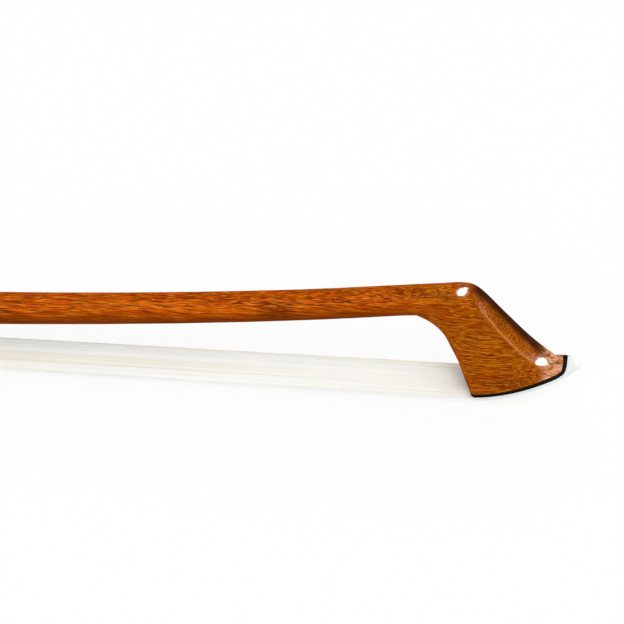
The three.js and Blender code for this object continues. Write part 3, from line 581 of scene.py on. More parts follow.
@dataclass(frozen=True)
class Goatskin(Finish):
    """Dark goatskin, pebbled, and worn lighter where the thumb rests."""

    slot: Slot = Slot.LEATHER
    ground: Colour = paint(44, 28, 21)
    worn: Colour = paint(96, 62, 40)

    def paint(self, graph: Surface) -> None:
        """Adds the leather's nodes to a graph."""
        pebble = graph.cells(graph.place(1, 1, 1), 1.5, "DISTANCE_TO_EDGE").between(0.0, 0.14)
        fine = graph.noise(graph.place(5, 5, 5), detail=3)
        rub = graph.noise(graph.place(0.25, 0.25, 0.25), detail=3).between(0.45, 0.75)
        graph.set(
            Base_Color=graph.mix(rub * pebble * 0.7, self.ground, self.worn),
            Roughness=0.42 + fine * 0.25,
            Sheen_Weight=0.1,
            Normal=graph.bump(pebble * 0.8 + fine * 0.2, 0.12, 0.7),
        )


WOOD = Varnished()
EBONY = Polished()
LINER = Polished(Slot.EBONY, paint(13, 10, 9), paint(26, 18, 14), gloss=0.5, shine=0.02, coat=0.0)
BONE = Bone()
SILVER = Metal()
BRASS = Metal(Slot.BRASS, paint(202, 168, 96), paint(134, 100, 52), 0.28)
STEEL = Metal(Slot.STEEL, paint(168, 170, 172), paint(112, 104, 98), 0.3)
NACRE = Nacre()
HORSEHAIR = Horsehair()
THREAD = Thread()
SOFTWOOD = Softwood()
GOATSKIN = Goatskin()


# Meshes


def skin(rings: Sequence[Ring], closed: bool = False) -> bpy.types.Mesh:
    """A skin through rings of points.

    Args:
        rings: Rings, all of one count.
        closed: Whether the last ring joins the first, as on a hoop. Otherwise the ends are capped.

    Returns:
        The closed mesh.
    """
    work = bmesh.new()
    rows = [[work.verts.new(p) for p in ring] for ring in rings]
    count = len(rings[0])
    pairs = list(zip(rows, rows[1:])) + ([(rows[-1], rows[0])] if closed else [])
    for first, second in pairs:
        for k in range(count):
            n = (k + 1) % count
            work.faces.new((first[k], first[n], second[n], second[k]))
    if not closed:
        for row in (rows[0], rows[-1]):
            middle = work.verts.new(sum((v.co for v in row), Vector()) / count)
            for k in range(count):
                work.faces.new((row[k], row[(k + 1) % count], middle))
    return settled(work)


def outwards(work: bmesh.types.BMesh) -> None:
    """Turns the faces of some mesh work outwards."""
    bmesh.ops.recalc_face_normals(work, faces=work.faces)
    if work.calc_volume(signed=True) < 0:
        bmesh.ops.reverse_faces(work, faces=work.faces)


def settled(work: bmesh.types.BMesh) -> bpy.types.Mesh:
    """The mesh of some mesh work, with its faces turned outwards."""
    outwards(work)
    mesh = bpy.data.meshes.new("work")
    work.to_mesh(mesh)
    work.free()
    return mesh


def slab(outline: Sequence[tuple[float, float]], half: float) -> bpy.types.Mesh:
    """A side outline in x and z, given a half thickness across the bow."""
    work = bmesh.new()
    near = [work.verts.new((x, -half, z)) for x, z in outline]
    far = [work.verts.new((x, half, z)) for x, z in outline]
    work.faces.new(near)
    work.faces.new(far[::-1])
    for k in range(len(outline)):
        n = (k + 1) % len(outline)
        work.faces.new((near[k], far[k], far[n], near[n]))
    return settled(work)


def brick(low: Sequence[float], high: Sequence[float]) -> bpy.types.Mesh:
    """A cutting block between two corners."""
    outline = [(low[0], low[2]), (high[0], low[2]), (high[0], high[2]), (low[0], high[2])]
    mesh = slab(outline, (high[1] - low[1]) / 2)
    mesh.transform(Matrix.Translation((0, (low[1] + high[1]) / 2, 0)))
    return mesh


def rod(radius: float, start: float, end: float, sides: int = 48) -> bpy.types.Mesh:
    """A round bar along x, for cutting and joining."""
    rings = []
    for x in (start, end):
        turn = [2 * math.pi * k / sides for k in range(sides)]
        rings.append([Vector((x, radius * math.cos(a), radius * math.sin(a))) for a in turn])
    return skin(rings)


def carve(base: bpy.types.Mesh, *tools: bpy.types.Mesh, how: str = "DIFFERENCE") -> bpy.types.Mesh:
    """Cuts, joins or intersects closed meshes.

    Args:
        base: What is worked on.
        tools: What it is cut, joined or intersected with, in turn.
        how: DIFFERENCE, UNION or INTERSECT.

    Returns:
        The result, as a new mesh.
    """
    host = bpy.data.objects.new("blank", base)
    bpy.context.scene.collection.objects.link(host)
    helpers = [host]
    for tool in tools:
        helper = bpy.data.objects.new("tool", tool)
        bpy.context.scene.collection.objects.link(helper)
        helpers.append(helper)
        step = host.modifiers.new("step", "BOOLEAN")
        step.operation = how
        step.solver = "MANIFOLD"
        step.object = helper
    bpy.context.view_layer.update()
    found = host.evaluated_get(bpy.context.evaluated_depsgraph_get())
    result = bpy.data.meshes.new_from_object(found)
    for helper in helpers:
        bpy.data.objects.remove(helper)
    if not result.polygons:
        raise ValueError(f"nothing is left after {how}")
    return result


def eased(mesh: bpy.types.Mesh, width: float, limit: float = 32, unit: float = 1.0) -> bpy.types.Mesh:
    """Takes the sharpness off a mesh's edges.

    Args:
        mesh: The mesh, which is changed.
        width: Width of the eased edges in millimetres, or 0 for none.
        limit: Edges that bend by more than this many degrees are eased, and stay sharp if the width is 0.
        unit: Length of a millimetre in the mesh's own unit.

    Returns:
        The same mesh, smooth but for its sharp edges.
    """
    work = bmesh.new()
    work.from_mesh(mesh)
    bmesh.ops.remove_doubles(work, verts=work.verts, dist=0.002 * unit)
    bmesh.ops.dissolve_limit(work, angle_limit=math.radians(0.4), verts=work.verts, edges=work.edges)
    bend = math.radians(limit)
    softest = math.radians(40) if width else bend
    if width:
        sharp = [e for e in work.edges if e.is_manifold and e.calc_face_angle(0) > bend]
        bmesh.ops.bevel(
            work, geom=sharp, offset=width * unit, segments=2, profile=0.5, affect="EDGES", clamp_overlap=True
        )
    for face in work.faces:
        face.smooth = True
    for edge in work.edges:
        edge.smooth = not edge.is_manifold or edge.calc_face_angle(0) < softest
    outwards(work)
    work.to_mesh(mesh)
    work.free()
    return mesh


def tube(path: Sequence[Vector], radius: float, sides: int) -> tuple[list[Vector], list[tuple[int, ...]]]:
    """Points and faces of a thin round strand along a path."""
    points: list[Vector] = []
    faces: list[tuple[int, ...]] = []
    across = Vector((0, 1, 0))
    for i, centre in enumerate(path):
        along = (path[min(i + 1, len(path) - 1)] - path[max(i - 1, 0)]).normalized()
        across = (across - along * across.dot(along)).normalized()
        up = along.cross(across)
        for k in range(sides):
            turn = 2 * math.pi * k / sides
            points.append(centre + across * (radius * math.cos(turn)) + up * (radius * math.sin(turn)))
        if i:
            low = (i - 1) * sides
            for k in range(sides):
                n = (k + 1) % sides
                faces.append((low + k, low + n, low + sides + n, low + sides + k))
    faces.append(tuple(range(sides))[::-1])
    faces.append(tuple(range(len(points) - sides, len(points))))
    return points, faces


def bundle(paths: Iterable[Sequence[Vector]], radius: float, sides: int) -> bpy.types.Mesh:
    """Many thin strands in one mesh."""
    points: list[Vector] = []
    faces: list[tuple[int, ...]] = []
    for path in paths:
        more, skins = tube(path, radius, sides)
        faces += [tuple(len(points) + i for i in face) for face in skins]
        points += more
    mesh = bpy.data.meshes.new("work")
    mesh.from_pydata(points, [], faces)
    mesh.shade_smooth()
    return mesh


def catmull(points: Sequence[Vector], place: float, mirrored: bool) -> Vector:
    """A point of a smooth line through points.

    Args:
        points: The points.
        place: 0 at the first and 1 at the last.
        mirrored: Whether the line runs on past its ends, rather than stopping there.

    Returns:
        The point.
    """
    last = len(points) - 1
    at = place * last
    i = min(int(at), last - 1)
    t = at - i
    p1, p2 = points[i], points[i + 1]
    p0 = points[i - 1] if i else (2 * p1 - p2 if mirrored else p1)
    p3 = points[i + 2] if i + 2 <= last else (2 * p2 - p1 if mirrored else p2)
    v0, v1 = (p2 - p0) / 2, (p3 - p1) / 2
    return (2 * p1 - 2 * p2 + v0 + v1) * t**3 + (3 * p2 - 3 * p1 - 2 * v0 - v1) * t**2 + v0 * t + p1


def blended(low: float, high: float, share: float) -> float:
    """A number between two."""
    return low + (high - low) * share


def clamped(value: float) -> float:
    """A number held between 0 and 1."""
    return min(1.0, max(0.0, value))


@dataclass
class Maker:
    """Puts meshes in the frame as pieces, and reports each."""

    pieces: list[str] = field(default_factory=list)
    origin: Vector = field(default_factory=Vector)

    def add(
        self,
        name: str,
        mesh: bpy.types.Mesh,
        finish: Finish,
        body: Body,
        *nodes: str,
        in_metres: bool = False,
        ride: bool = True,
    ) -> bpy.types.Object:
        """Makes a piece.

        Args:
            name: Its name.
            mesh: Its mesh.
            finish: Its finish.
            body: The body that it rides on.
            nodes: The CAD nodes that it stands for.
            in_metres: Whether the mesh is in the frame already, rather than in millimetres of the bow.
            ride: Whether it rides on its body, rather than being left where it is.

        Returns:
            The piece's object.
        """
        if not in_metres:
            mesh.transform(Matrix.Scale(MM, 4) @ Matrix.Translation(self.origin))
        mesh.name = name
        mesh.materials.clear()
        mesh.materials.append(finish.material())
        made = bpy.data.objects.new(name, mesh)
        bpy.context.scene.collection.objects.link(made)
        if nodes:
            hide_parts(*nodes)
        if ride:
            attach(made, body.value)
        self.pieces.append(name)
        LOG.info("%s: %d faces, rides on %s", name, len(mesh.polygons), body.value)
        return made

    def ease(self, name: str, node: str, finish: Finish, body: Body, width: float = 0.15) -> bpy.types.Object:
        """Stands a piece with eased edges in a CAD node's place."""
        mesh = eased(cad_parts[node].data.copy(), width, unit=MM)
        return self.add(name, mesh, finish, body, node, in_metres=True)


# The bow


@dataclass
class Line:
    """The line of the stick from its end to the neck, and the handle's own frame."""

    length: float = 729
    flats: float = 8.6
    handle: float = 158
    octagon_end: float = 57
    round_start: float = 78
    taper_start: float = 110
    tip: float = 5.85
    taper_power: float = 1.15
    tilt: float = math.radians(3.2)
    neck_slope: float = 0.168
    waist: float = 6.4
    reach: float = 0.27
    neck_run: float = 15
    neck_share: float = 0.7965
    head_length: float = 20.8
    head_height: float = 25.3
    frog_rear: float = 10
    frog_length: float = 46
    frog_depth: float = 21.8
    hair_exit: float = 20.9
    hair_level: float = -0.4
    places: tuple[float, ...] = tuple(
        sorted([k / 2 for k in range(33)] + [2.75, 3.25, 11.75, 12.25, 12.75, 15.25, 15.75, 15.9])
    )  # round one half of a section, from its back at 0 to its ridge at 16

    @property
    def head_start(self) -> float:
        """Where the rear corner of the head's plate is."""
        return self.length - self.head_length

    @property
    def neck(self) -> float:
        """Where the stick begins to turn into the head."""
        return self.head_start - self.neck_run

    @property
    def rise(self) -> float:
        """Height of the handle's axis at the end of the stick."""
        front = self.frog_rear + self.frog_length
        return self.hair_level + front * math.sin(self.tilt) + self.hair_exit * math.cos(self.tilt)

    @property
    def lean(self) -> Matrix:
        """The handle's frame in the bow's."""
        return Matrix.Translation((0, 0, self.rise)) @ Matrix.Rotation(self.tilt, 4, "Y")

    def diameter(self, x: float) -> float:
        """Diameter of the stick at a distance along it."""
        share = clamped((self.neck - x) / (self.neck - self.taper_start))
        return self.tip + (self.flats - self.tip) * share**self.taper_power

    def ring(self, centre: Vector, slope: float, diameter: float, facets: float) -> Ring:
        """One section of the stick, square to its line: an octagon where facets is 1, round where it is 0."""
        up = Vector((-slope, 0, 1)).normalized()
        half = []
        for k in self.places:
            angle = math.pi * k / 16
            off = (angle + math.pi / 8) % (math.pi / 4) - math.pi / 8
            radius = diameter / 2 * blended(1, 1 / math.cos(off), facets)
            half.append(centre + Vector((0, radius * math.sin(angle), 0)) - up * (radius * math.cos(angle)))
        return half + [Vector((p.x, -p.y, p.z)) for p in half[-2:0:-1]]

    def handle_ring(self, x: float, off: float = 0) -> Ring:
        """A section of the handle, some way off its surface."""
        facets = clamped((self.round_start - x) / (self.round_start - self.octagon_end))
        ring = self.ring(Vector((x, 0, 0)), 0, self.diameter(x) + 2 * off, facets)
        return [self.lean @ p for p in ring]

    def camber(self, share: float) -> tuple[Vector, float]:
        """A point of the cambered line, and its slope there."""
        start = self.lean @ Vector((self.handle, 0, 0))
        end = Vector((self.neck, 0, self.neck_share * self.head_height))
        run = (end.x - start.x) * self.reach
        pull = start + Vector((run, 0, -run * math.tan(self.tilt)))
        rise = (4 * end.z + start.z + 3 * pull.z - 8 * self.waist) / 3
        push = end - Vector((rise / self.neck_slope, 0, rise))
        t, s = share, 1 - share
        point = start * s**3 + pull * (3 * s * s * t) + push * (3 * s * t * t) + end * t**3
        along = (pull - start) * s * s + (push - pull) * (2 * s * t) + (end - push) * t * t
        return point, along.z / along.x


@dataclass
class Head:
    """The head of the bow: its carved end of the stick, ebony liner, bone plate, plug and hair knot."""

    line: Line
    half_width: float = 5.5
    crease: float = 0.82
    cheek_taper: float = 0.12
    soften: float = 0.035
    ridge: tuple[tuple[float, float], ...] = (
        (-0.53, 0.938), (-0.337, 0.968), (-0.168, 0.996), (-0.042, 0.99), (0.07, 0.917), (0.258, 0.737),
        (0.511, 0.504), (0.72, 0.347), (0.825, 0.29), (0.893, 0.326), (0.985, 0.266), (1.02, 0.19),
    )
    throat: tuple[tuple[float, float], ...] = (
        (-0.56, 0.694), (-0.451, 0.642), (-0.359, 0.581), (-0.288, 0.518), (-0.235, 0.452), (-0.144, 0.324),
        (-0.082, 0.196), (-0.032, 0.097), (-0.007, 0.045), (0.042, -0.07), (0.07, -0.13), (0.085, -0.17),
    )
    girth: tuple[float, ...] = (0.535, 0.541, 0.555, 0.585, 0.62, 0.7, 0.795, 0.9, 0.955, 0.99, 1, 1)
    square: tuple[float, ...] = (0, 0.1, 0.26, 0.46, 0.72, 0.94, 1, 1, 1, 1, 1, 1)
    plan: tuple[float, ...] = (0, 0, 0, 0, 0, 0.05, 0.22, 0.6, 0.95, 1.3, 1.1, 1)
    depths: tuple[float, ...] = (
        0, 0, 0, 0.006, 0.035, 0.12, 0.22, 0.32, 0.42, 0.52, 0.62, 0.72, 0.82, 0.87, 0.915, 0.96, 1,
    )
    backs: tuple[float, ...] = (0, 0.4, 0.76, 0.93, 1)
    plan_power: float = 2.2
    plan_roundness: float = 0.8
    rings_a_station: int = 9
    face_height: float = 1.45
    face: tuple[tuple[float, float], ...] = (
        (-0.25, -0.01), (0.03, 0), (0.25, 0.027), (0.48, 0.071), (0.69, 0.125), (0.785, 0.155),
        (0.82, 0.19), (0.828, 0.34),
    )
    beak: tuple[tuple[float, float], ...] = ((0.828, 0.32), (0.87, 0.33), (0.93, 0.32), (1.0, 0.262))
    keel: tuple[tuple[float, float], ...] = (
        (0.985, 0.225), (0.88, 0.182), (0.68, 0.118), (0.48, 0.068), (0.25, 0.02), (0.12, 0.005), (0, 0.001),
    )
    glue: float = 0.06
    liner: float = 0.75
    mortise_rear: float = 4.2
    mortise_length: float = 6
    mortise_width: float = 5.8
    mortise_top: float = 8
    overrun: float = 3
    reach_below: float = 6
    face_steps: int = 54
    beak_steps: int = 24
    keel_steps: int = 42

    def _value(self, table: Sequence[float], place: float) -> float:
        """A table's value at a place from 0 to 1, on a smooth line."""
        return catmull([Vector((v, 0, 0)) for v in table], place, True).x

    def _point(self, table: Sequence[tuple[float, float]], place: float) -> Vector:
        """A table's point at a place from 0 to 1, in millimetres from the head's corner."""
        point = catmull([Vector((x, 0, z)) for x, z in table], place, True)
        return Vector((point.x * self.line.head_length, 0, point.z * self.line.head_height))

    def _width(self, depth: float, plan: float) -> float:
        """Half width of a section at a depth from its back to its ridge, as a share of the half width."""
        cheek = 1 - self.cheek_taper * (depth / self.crease) ** 2
        run = max(0.0, (1 - depth) / (1 - self.crease))
        chamfer = (1 - self.cheek_taper) * math.sqrt(run * run + 2 * self.soften * run)
        body = (cheek + chamfer - math.sqrt((cheek - chamfer) ** 2 + 0.0012)) / 2 if depth < 1 else 0
        foot = (1 - clamped(depth) ** self.plan_power) ** self.plan_roundness
        return blended(max(0.0, body), foot, plan)

    def ring(self, place: float) -> Ring:
        """One section of the head."""
        outer = self._point(self.ridge, place)
        inner = self._point(self.throat, place)
        girth = self._value(self.girth, place) * self.half_width
        square = clamped(self._value(self.square, place))
        plan = max(0.0, self._value(self.plan, place))
        half = []
        for k in self.line.places:
            i = min(int(k), 15)
            depth = blended(self.depths[i], self.depths[i + 1], k - i)
            back = blended(self.backs[i], self.backs[i + 1], k - i) if k < 4 else 1
            angle = math.pi * k / 16
            y = girth * blended(math.sin(angle), self._width(depth, plan) * back, square)
            point = inner.lerp(outer, blended((1 - math.cos(angle)) / 2, depth, square))
            half.append(Vector((self.line.head_start + point.x, 0 if k in (0, 16) else y, point.z)))
        return half + [Vector((p.x, -p.y, p.z)) for p in half[-2:0:-1]]

    def rings(self, first: int = 0) -> list[Ring]:
        """The head's sections from one station of its tables to the last."""
        last = len(self.ridge) - 1
        count = (last - first) * self.rings_a_station
        return [self.ring((first + i / self.rings_a_station) / last) for i in range(count + 1)]

    def _edge(self, table: Sequence[tuple[float, float]], base: float, count: int) -> list[Vector]:
        """Points on a smooth line through a table, above a height, in x and z."""
        corner = Vector((self.line.head_start, base))
        points = [corner + Vector((x * self.line.head_length, z * self.line.head_height)) for x, z in table]
        return [catmull(points, i / count, False) for i in range(count + 1)]

    def beyond(self, distance: float) -> bpy.types.Mesh:
        """All that lies below the wood's lower edge, moved down and forward by a distance."""
        edge = self._edge(self.face, self.face_height, self.face_steps)
        moved = []
        for i, point in enumerate(edge):
            along = (edge[min(i + 1, len(edge) - 1)] - edge[max(i - 1, 0)]).normalized()
            moved.append((point.x + along.y * distance, point.y - along.x * distance))
        right = self.line.length + self.overrun
        top = moved[-1][1] + self.overrun
        low = -self.reach_below
        outline = [*moved, (moved[-1][0], top), (right, top), (right, low), (moved[0][0], low)]
        return slab(outline, 4 * self.half_width)

    def mortise(self, spare: float) -> bpy.types.Mesh:
        """The hole for the plug and the knot, wider by what is spare."""
        rear = self.line.head_start + self.mortise_rear
        half = self.mortise_width / 2 + spare
        low = (rear - spare, -half, -self.reach_below)
        return brick(low, (rear + self.mortise_length + spare, half, self.mortise_top + spare))

    def build(self, maker: Maker) -> None:
        """Makes the pieces of the head.

        Args:
            maker: Puts the pieces in the frame.
        """
        blank = skin(self.rings(5))
        layer = carve(blank.copy(), self.beyond(self.glue), how="INTERSECT")
        liner = carve(layer, self.beyond(self.liner), self.mortise(self.glue))
        maker.add("liner_of_head", eased(liner, 0, 30), LINER, Body.STICK, "head_liner")
        crown = [(p.x, p.y) for p in self._edge(self.beak, 0, self.beak_steps)]
        keel = [(p.x, p.y) for p in self._edge(self.keel, 0, self.keel_steps)]
        behind = self.line.head_start - self.overrun
        above = self.face_height + self.beak[0][1] * self.line.head_height
        sides = slab([*crown, *keel, (behind, 0), (behind, above)], 4 * self.half_width)
        body = carve(blank, self.beyond(self.liner + self.glue), sides, how="INTERSECT")
        plate = carve(body, self.mortise(self.glue))
        maker.add("plate_of_head", eased(plate, 0, 30), BONE, Body.STICK, "head_plate")
        maker.ease("plug_of_head", "head_plug", SOFTWOOD, Body.STICK, 0.12)


@dataclass
class Stick:
    """The pernambuco stick, from its rear end to the wood of its head."""

    line: Line
    head: Head
    camber_rings: int = 130
    nipple: float = 2.7
    nipple_length: float = 2.5
    bore: float = 1.65
    pilot: float = 1.35
    thread_end: float = 37.2
    screw_end: float = 47.4
    mortise: tuple[float, float, float, float] = (19, 34.5, 3.7, 2.7)  # rear, front, width, top
    bevel: float = 0.35
    bevel_depth: float = 0.3
    turning_rings: int = 7
    turning_step: float = 3.5
    grip_marks: tuple[float, ...] = (90, 100, 126, 142)
    overrun: float = 3

    def build(self, maker: Maker) -> None:
        """Makes the stick.

        Args:
            maker: Puts the pieces in the frame.
        """
        line = self.line
        turning = [line.octagon_end + i * self.turning_step for i in range(self.turning_rings)]
        marks = sorted([0.0, self.bevel, *turning, *self.grip_marks, line.taper_start, line.handle])
        rings = [line.handle_ring(x, -self.bevel_depth if x == 0 else 0) for x in marks]
        for i in range(1, self.camber_rings + 1):
            centre, slope = line.camber(i / self.camber_rings)
            rings.append(line.ring(centre, slope, line.diameter(centre.x), 0))
        blank = skin(rings + self.head.rings())
        rear, front, width, top = self.mortise
        nipple = rod(self.nipple, -self.nipple_length, self.overrun)
        tools = [
            rod(self.bore, -self.nipple_length - self.overrun, rear + self.overrun),
            rod(self.bore, front - self.overrun, self.thread_end),
            rod(self.pilot, front - self.overrun, self.screw_end),
            brick((rear, -width / 2, -line.flats), (front, width / 2, top)),
        ]
        for mesh in (nipple, *tools):
            mesh.transform(line.lean)
        whole = carve(carve(blank, nipple, how="UNION"), *tools, self.head.beyond(0), self.head.mortise(0))
        maker.add("stick_wood", eased(whole, 0, 27), WOOD, Body.STICK, "stick")


@dataclass
class Hair:
    """The flat band of horsehair from the head to the frog, and the knots at its ends."""

    line: Line
    strands: int = 190
    radius: float = 0.125
    head_width: float = 9.4
    middle_width: float = 7.4
    frog_width: float = 9.0
    mortise_width: float = 5.4
    thickness: float = 0.6
    bundle_width: float = 3.4
    bundle_thickness: float = 1.3
    gap: float = 0.1
    head_wall: float = 4.2
    turn_level: float = 3.4
    knot_level: float = 5.7
    knot_half: float = 1.4
    bundle_up: float = 1.2
    bundle_down: float = 1.1
    base_thickness: float = 2.1
    ferrule_run: float = 7.5
    channel_start: float = 10
    frog_wall: float = 31.1
    frog_mortise: float = 7.2
    frog_turn: float = 2.2
    span_steps: int = 30
    layers: int = 3
    strand_sides: int = 4
    unevenness: float = 0.2
    drift: tuple[float, float] = (0.002, 0.011)
    drift_turn: float = 0.45
    seed: int = 7

    def stations(self) -> list[tuple[Vector, float, float]]:
        """Middle, width and thickness of the band at places along it."""
        line = self.line
        flat = self.thickness
        side = self.gap + flat / 2
        wall = line.head_start + self.head_wall
        knot = Vector((wall + self.gap + self.knot_half, 0, self.knot_level))
        rows: list[tuple[Vector, float, float]] = [
            (knot + Vector((0, 0, self.bundle_up)), self.bundle_width, self.bundle_thickness),
            (knot - Vector((0, 0, self.bundle_down)), self.bundle_width, self.bundle_thickness),
            (Vector((wall + side, 0, self.turn_level + side)), self.mortise_width, flat),
            (Vector((wall + side, 0, 0)), self.mortise_width, flat),
            (Vector((wall + side * 0.7, 0, -side * 0.7)), self.mortise_width, flat),
            (Vector((wall, 0, -side)), self.mortise_width, flat),
            (Vector((line.head_start, 0, -side)), self.head_width, flat),
        ]
        front = line.frog_rear + line.frog_length
        leave = line.lean @ Vector((front, 0, -line.hair_exit))
        for i in range(1, self.span_steps):
            share = i / self.span_steps
            wave = math.sin(math.pi * share)
            width = self.middle_width * wave + blended(self.head_width, self.frog_width, share) * (1 - wave)
            rows.append((Vector((blended(line.head_start, leave.x, share), 0, line.hair_level)), width, flat))
        lift = self.base_thickness + flat + 2 * self.gap
        channel = -line.frog_depth + lift - side
        wall = line.frog_rear + self.frog_wall
        low = -line.frog_depth + lift + self.frog_mortise - self.gap - self.bundle_down - flat
        knot_x = wall - self.gap - self.knot_half
        inner = [
            (front, -line.hair_exit, self.frog_width, flat),
            (front - self.ferrule_run, -line.hair_exit, self.frog_width, flat),
            (front - self.channel_start + flat / 2, channel, self.mortise_width, flat),
            (wall, channel, self.mortise_width, flat),
            (wall - side * 0.7, channel + side * 0.3, self.mortise_width, flat),
            (wall - side, channel + side, self.mortise_width, flat),
            (wall - side, channel + 2 * side + self.gap + self.frog_turn, self.mortise_width, flat),
            (knot_x, low - self.bundle_down, self.bundle_width, self.bundle_thickness),
            (knot_x, low + self.bundle_up, self.bundle_width, self.bundle_thickness),
        ]
        return rows + [(line.lean @ Vector((x, 0, z)), width, thick) for x, z, width, thick in inner]

    def build(self, maker: Maker) -> None:
        """Makes the band of hairs.

        Args:
            maker: Puts the pieces in the frame.
        """
        mesh = bundle(self._paths(), self.radius, self.strand_sides)
        band = maker.add("hair_band", mesh, HORSEHAIR, Body.STICK, "hair_ribbon", ride=False)
        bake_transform(band)
        self._knot(maker, "knot_of_head", "head_hair_knot", Body.STICK)
        self._knot(maker, "knot_of_frog", "frog_hair_knot", Body.FROG)

    def _paths(self) -> list[list[Vector]]:
        """The line of each hair, from the knot in the head to the one in the frog."""
        rows = self.stations()
        last = len(rows) - 1
        chance = random.Random(self.seed)
        frames = []
        for i, (centre, width, thick) in enumerate(rows):
            along = (rows[min(i + 1, last)][0] - rows[max(i - 1, 0)][0]).normalized()
            up = along.cross(Vector((0, 1, 0)))
            frames.append((centre, width - 2 * self.radius, thick - 2 * self.radius, up))
        columns = self.strands // self.layers
        paths = []
        for layer in range(self.layers):
            for column in range(columns):
                place = column + 0.5 * (layer % 2) + chance.uniform(-self.unevenness, self.unevenness)
                u = max(-0.5, min(0.5, place / (columns - 0.5) - 0.5))
                v = layer / (self.layers - 1) - 0.5
                drift, phase = chance.uniform(*self.drift), chance.uniform(0, 6.28)
                path = []
                for i, (centre, width, thick, up) in enumerate(frames):
                    sway = drift * math.sin(phase + i * self.drift_turn) if 0 < i < last else 0
                    shift = max(-0.5, min(0.5, u + sway))
                    path.append(centre + Vector((0, shift * width, 0)) + up * (v * thick))
                paths.append(path)
        return paths

    def _knot(self, maker: Maker, name: str, node: str, body: Body) -> None:
        """Turns of thread tied round the end of the hair, where a CAD knot stands."""
        low, high = (Vector(corner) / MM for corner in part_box(node))
        centre, size = (low + high) / 2, high - low
        turns, steps, thread = 5, 28, 0.2
        path = []
        for i in range(turns * steps + 1):
            turn = 2 * math.pi * i / steps
            lift = (i / (turns * steps) - 0.5) * (size.z - 2 * thread)
            x, y = (size.x / 2 - thread) * math.cos(turn), (size.y / 2 - thread) * math.sin(turn)
            path.append(centre + Vector((x, y, lift)) - maker.origin)
        maker.add(name, bundle([path], thread, 8), THREAD, body, node)


@dataclass
class Grip:
    """Thumb leather, wire lapping and end band round the handle."""

    line: Line
    glue: float = 0.06
    leather_start: float = 57
    leather_length: float = 24
    leather_profile: tuple[tuple[float, float], ...] = (
        (0, 0.3), (0.02, 0.75), (0.08, 1.12), (0.16, 1.27), (0.25, 1.3), (0.36, 1.16),
        (0.5, 0.96), (0.7, 0.86), (0.9, 0.82), (0.97, 0.7), (1, 0.4),
    )
    winding_length: float = 72
    wire: float = 0.235
    wire_sides: int = 6
    steps_a_turn: int = 26
    band_length: float = 4
    band_thickness: float = 0.65

    def _sleeve(
        self, start: float, length: float, profile: Sequence[tuple[float, float]], seam: float
    ) -> bpy.types.Mesh:
        """A sleeve of skin round the handle, with a seam where its edges meet below the stick.

        Args:
            start: Where it begins on the handle.
            length: Its length.
            profile: Thickness at shares of the length.
            seam: Depth of the groove where its two edges meet.

        Returns:
            The mesh.
        """
        outer, inner = [], []
        count = 48
        for i in range(count + 1):
            share = i / count
            k = next(j for j in range(1, len(profile)) if profile[j][0] >= share - 1e-9)
            (s0, t0), (s1, t1) = profile[k - 1], profile[k]
            thick = blended(t0, t1, (share - s0) / (s1 - s0))
            x = start + share * length
            base = self.line.handle_ring(x, self.glue)
            middle = self.line.lean @ Vector((x, 0, 0))
            ring = []
            for point in base:
                out = (point - middle).normalized()
                turn = abs(math.atan2(out.y, -out.z))
                groove = seam * math.exp(-((turn / 0.09) ** 2))
                wobble = 0.04 * math.sin(5 * turn + share * 9) * math.sin(math.pi * share)
                ring.append(point + out * max(0.12, thick * (1 - groove) + wobble * min(1, thick)))
            outer.append(ring)
            inner.append(base)
        return skin(outer + inner[::-1], closed=True)

    def build(self, maker: Maker) -> None:
        """Makes the grip.

        Args:
            maker: Puts the pieces in the frame.
        """
        leather = self._sleeve(self.leather_start, self.leather_length, self.leather_profile, 0.4)
        maker.add("leather_of_thumb", eased(leather, 0, 50), GOATSKIN, Body.STICK, "thumb_leather")
        start = self.leather_start + self.leather_length + self.glue
        turns = int(self.winding_length / (2 * self.wire + 0.005))
        path = []
        for i in range(turns * self.steps_a_turn + 1):
            turn = 2 * math.pi * i / self.steps_a_turn
            x = start + self.wire + (self.winding_length - 2 * self.wire) * i / (turns * self.steps_a_turn)
            radius = self.line.diameter(x) / 2 + self.glue + self.wire
            path.append(self.line.lean @ Vector((x, radius * math.sin(turn), -radius * math.cos(turn))))
        wire = bundle([path], self.wire, self.wire_sides)
        maker.add("wire_lapping", wire, SILVER, Body.STICK, "grip_winding")
        t = self.band_thickness
        profile = ((0, t * 0.5), (0.06, t * 0.92), (0.15, t), (0.85, t), (0.94, t * 0.92), (1, t * 0.5))
        band = self._sleeve(start + self.winding_length + self.glue, self.band_length, profile, 0.3)
        maker.add("band_of_grip", eased(band, 0, 50), GOATSKIN, Body.STICK, "grip_end_band")


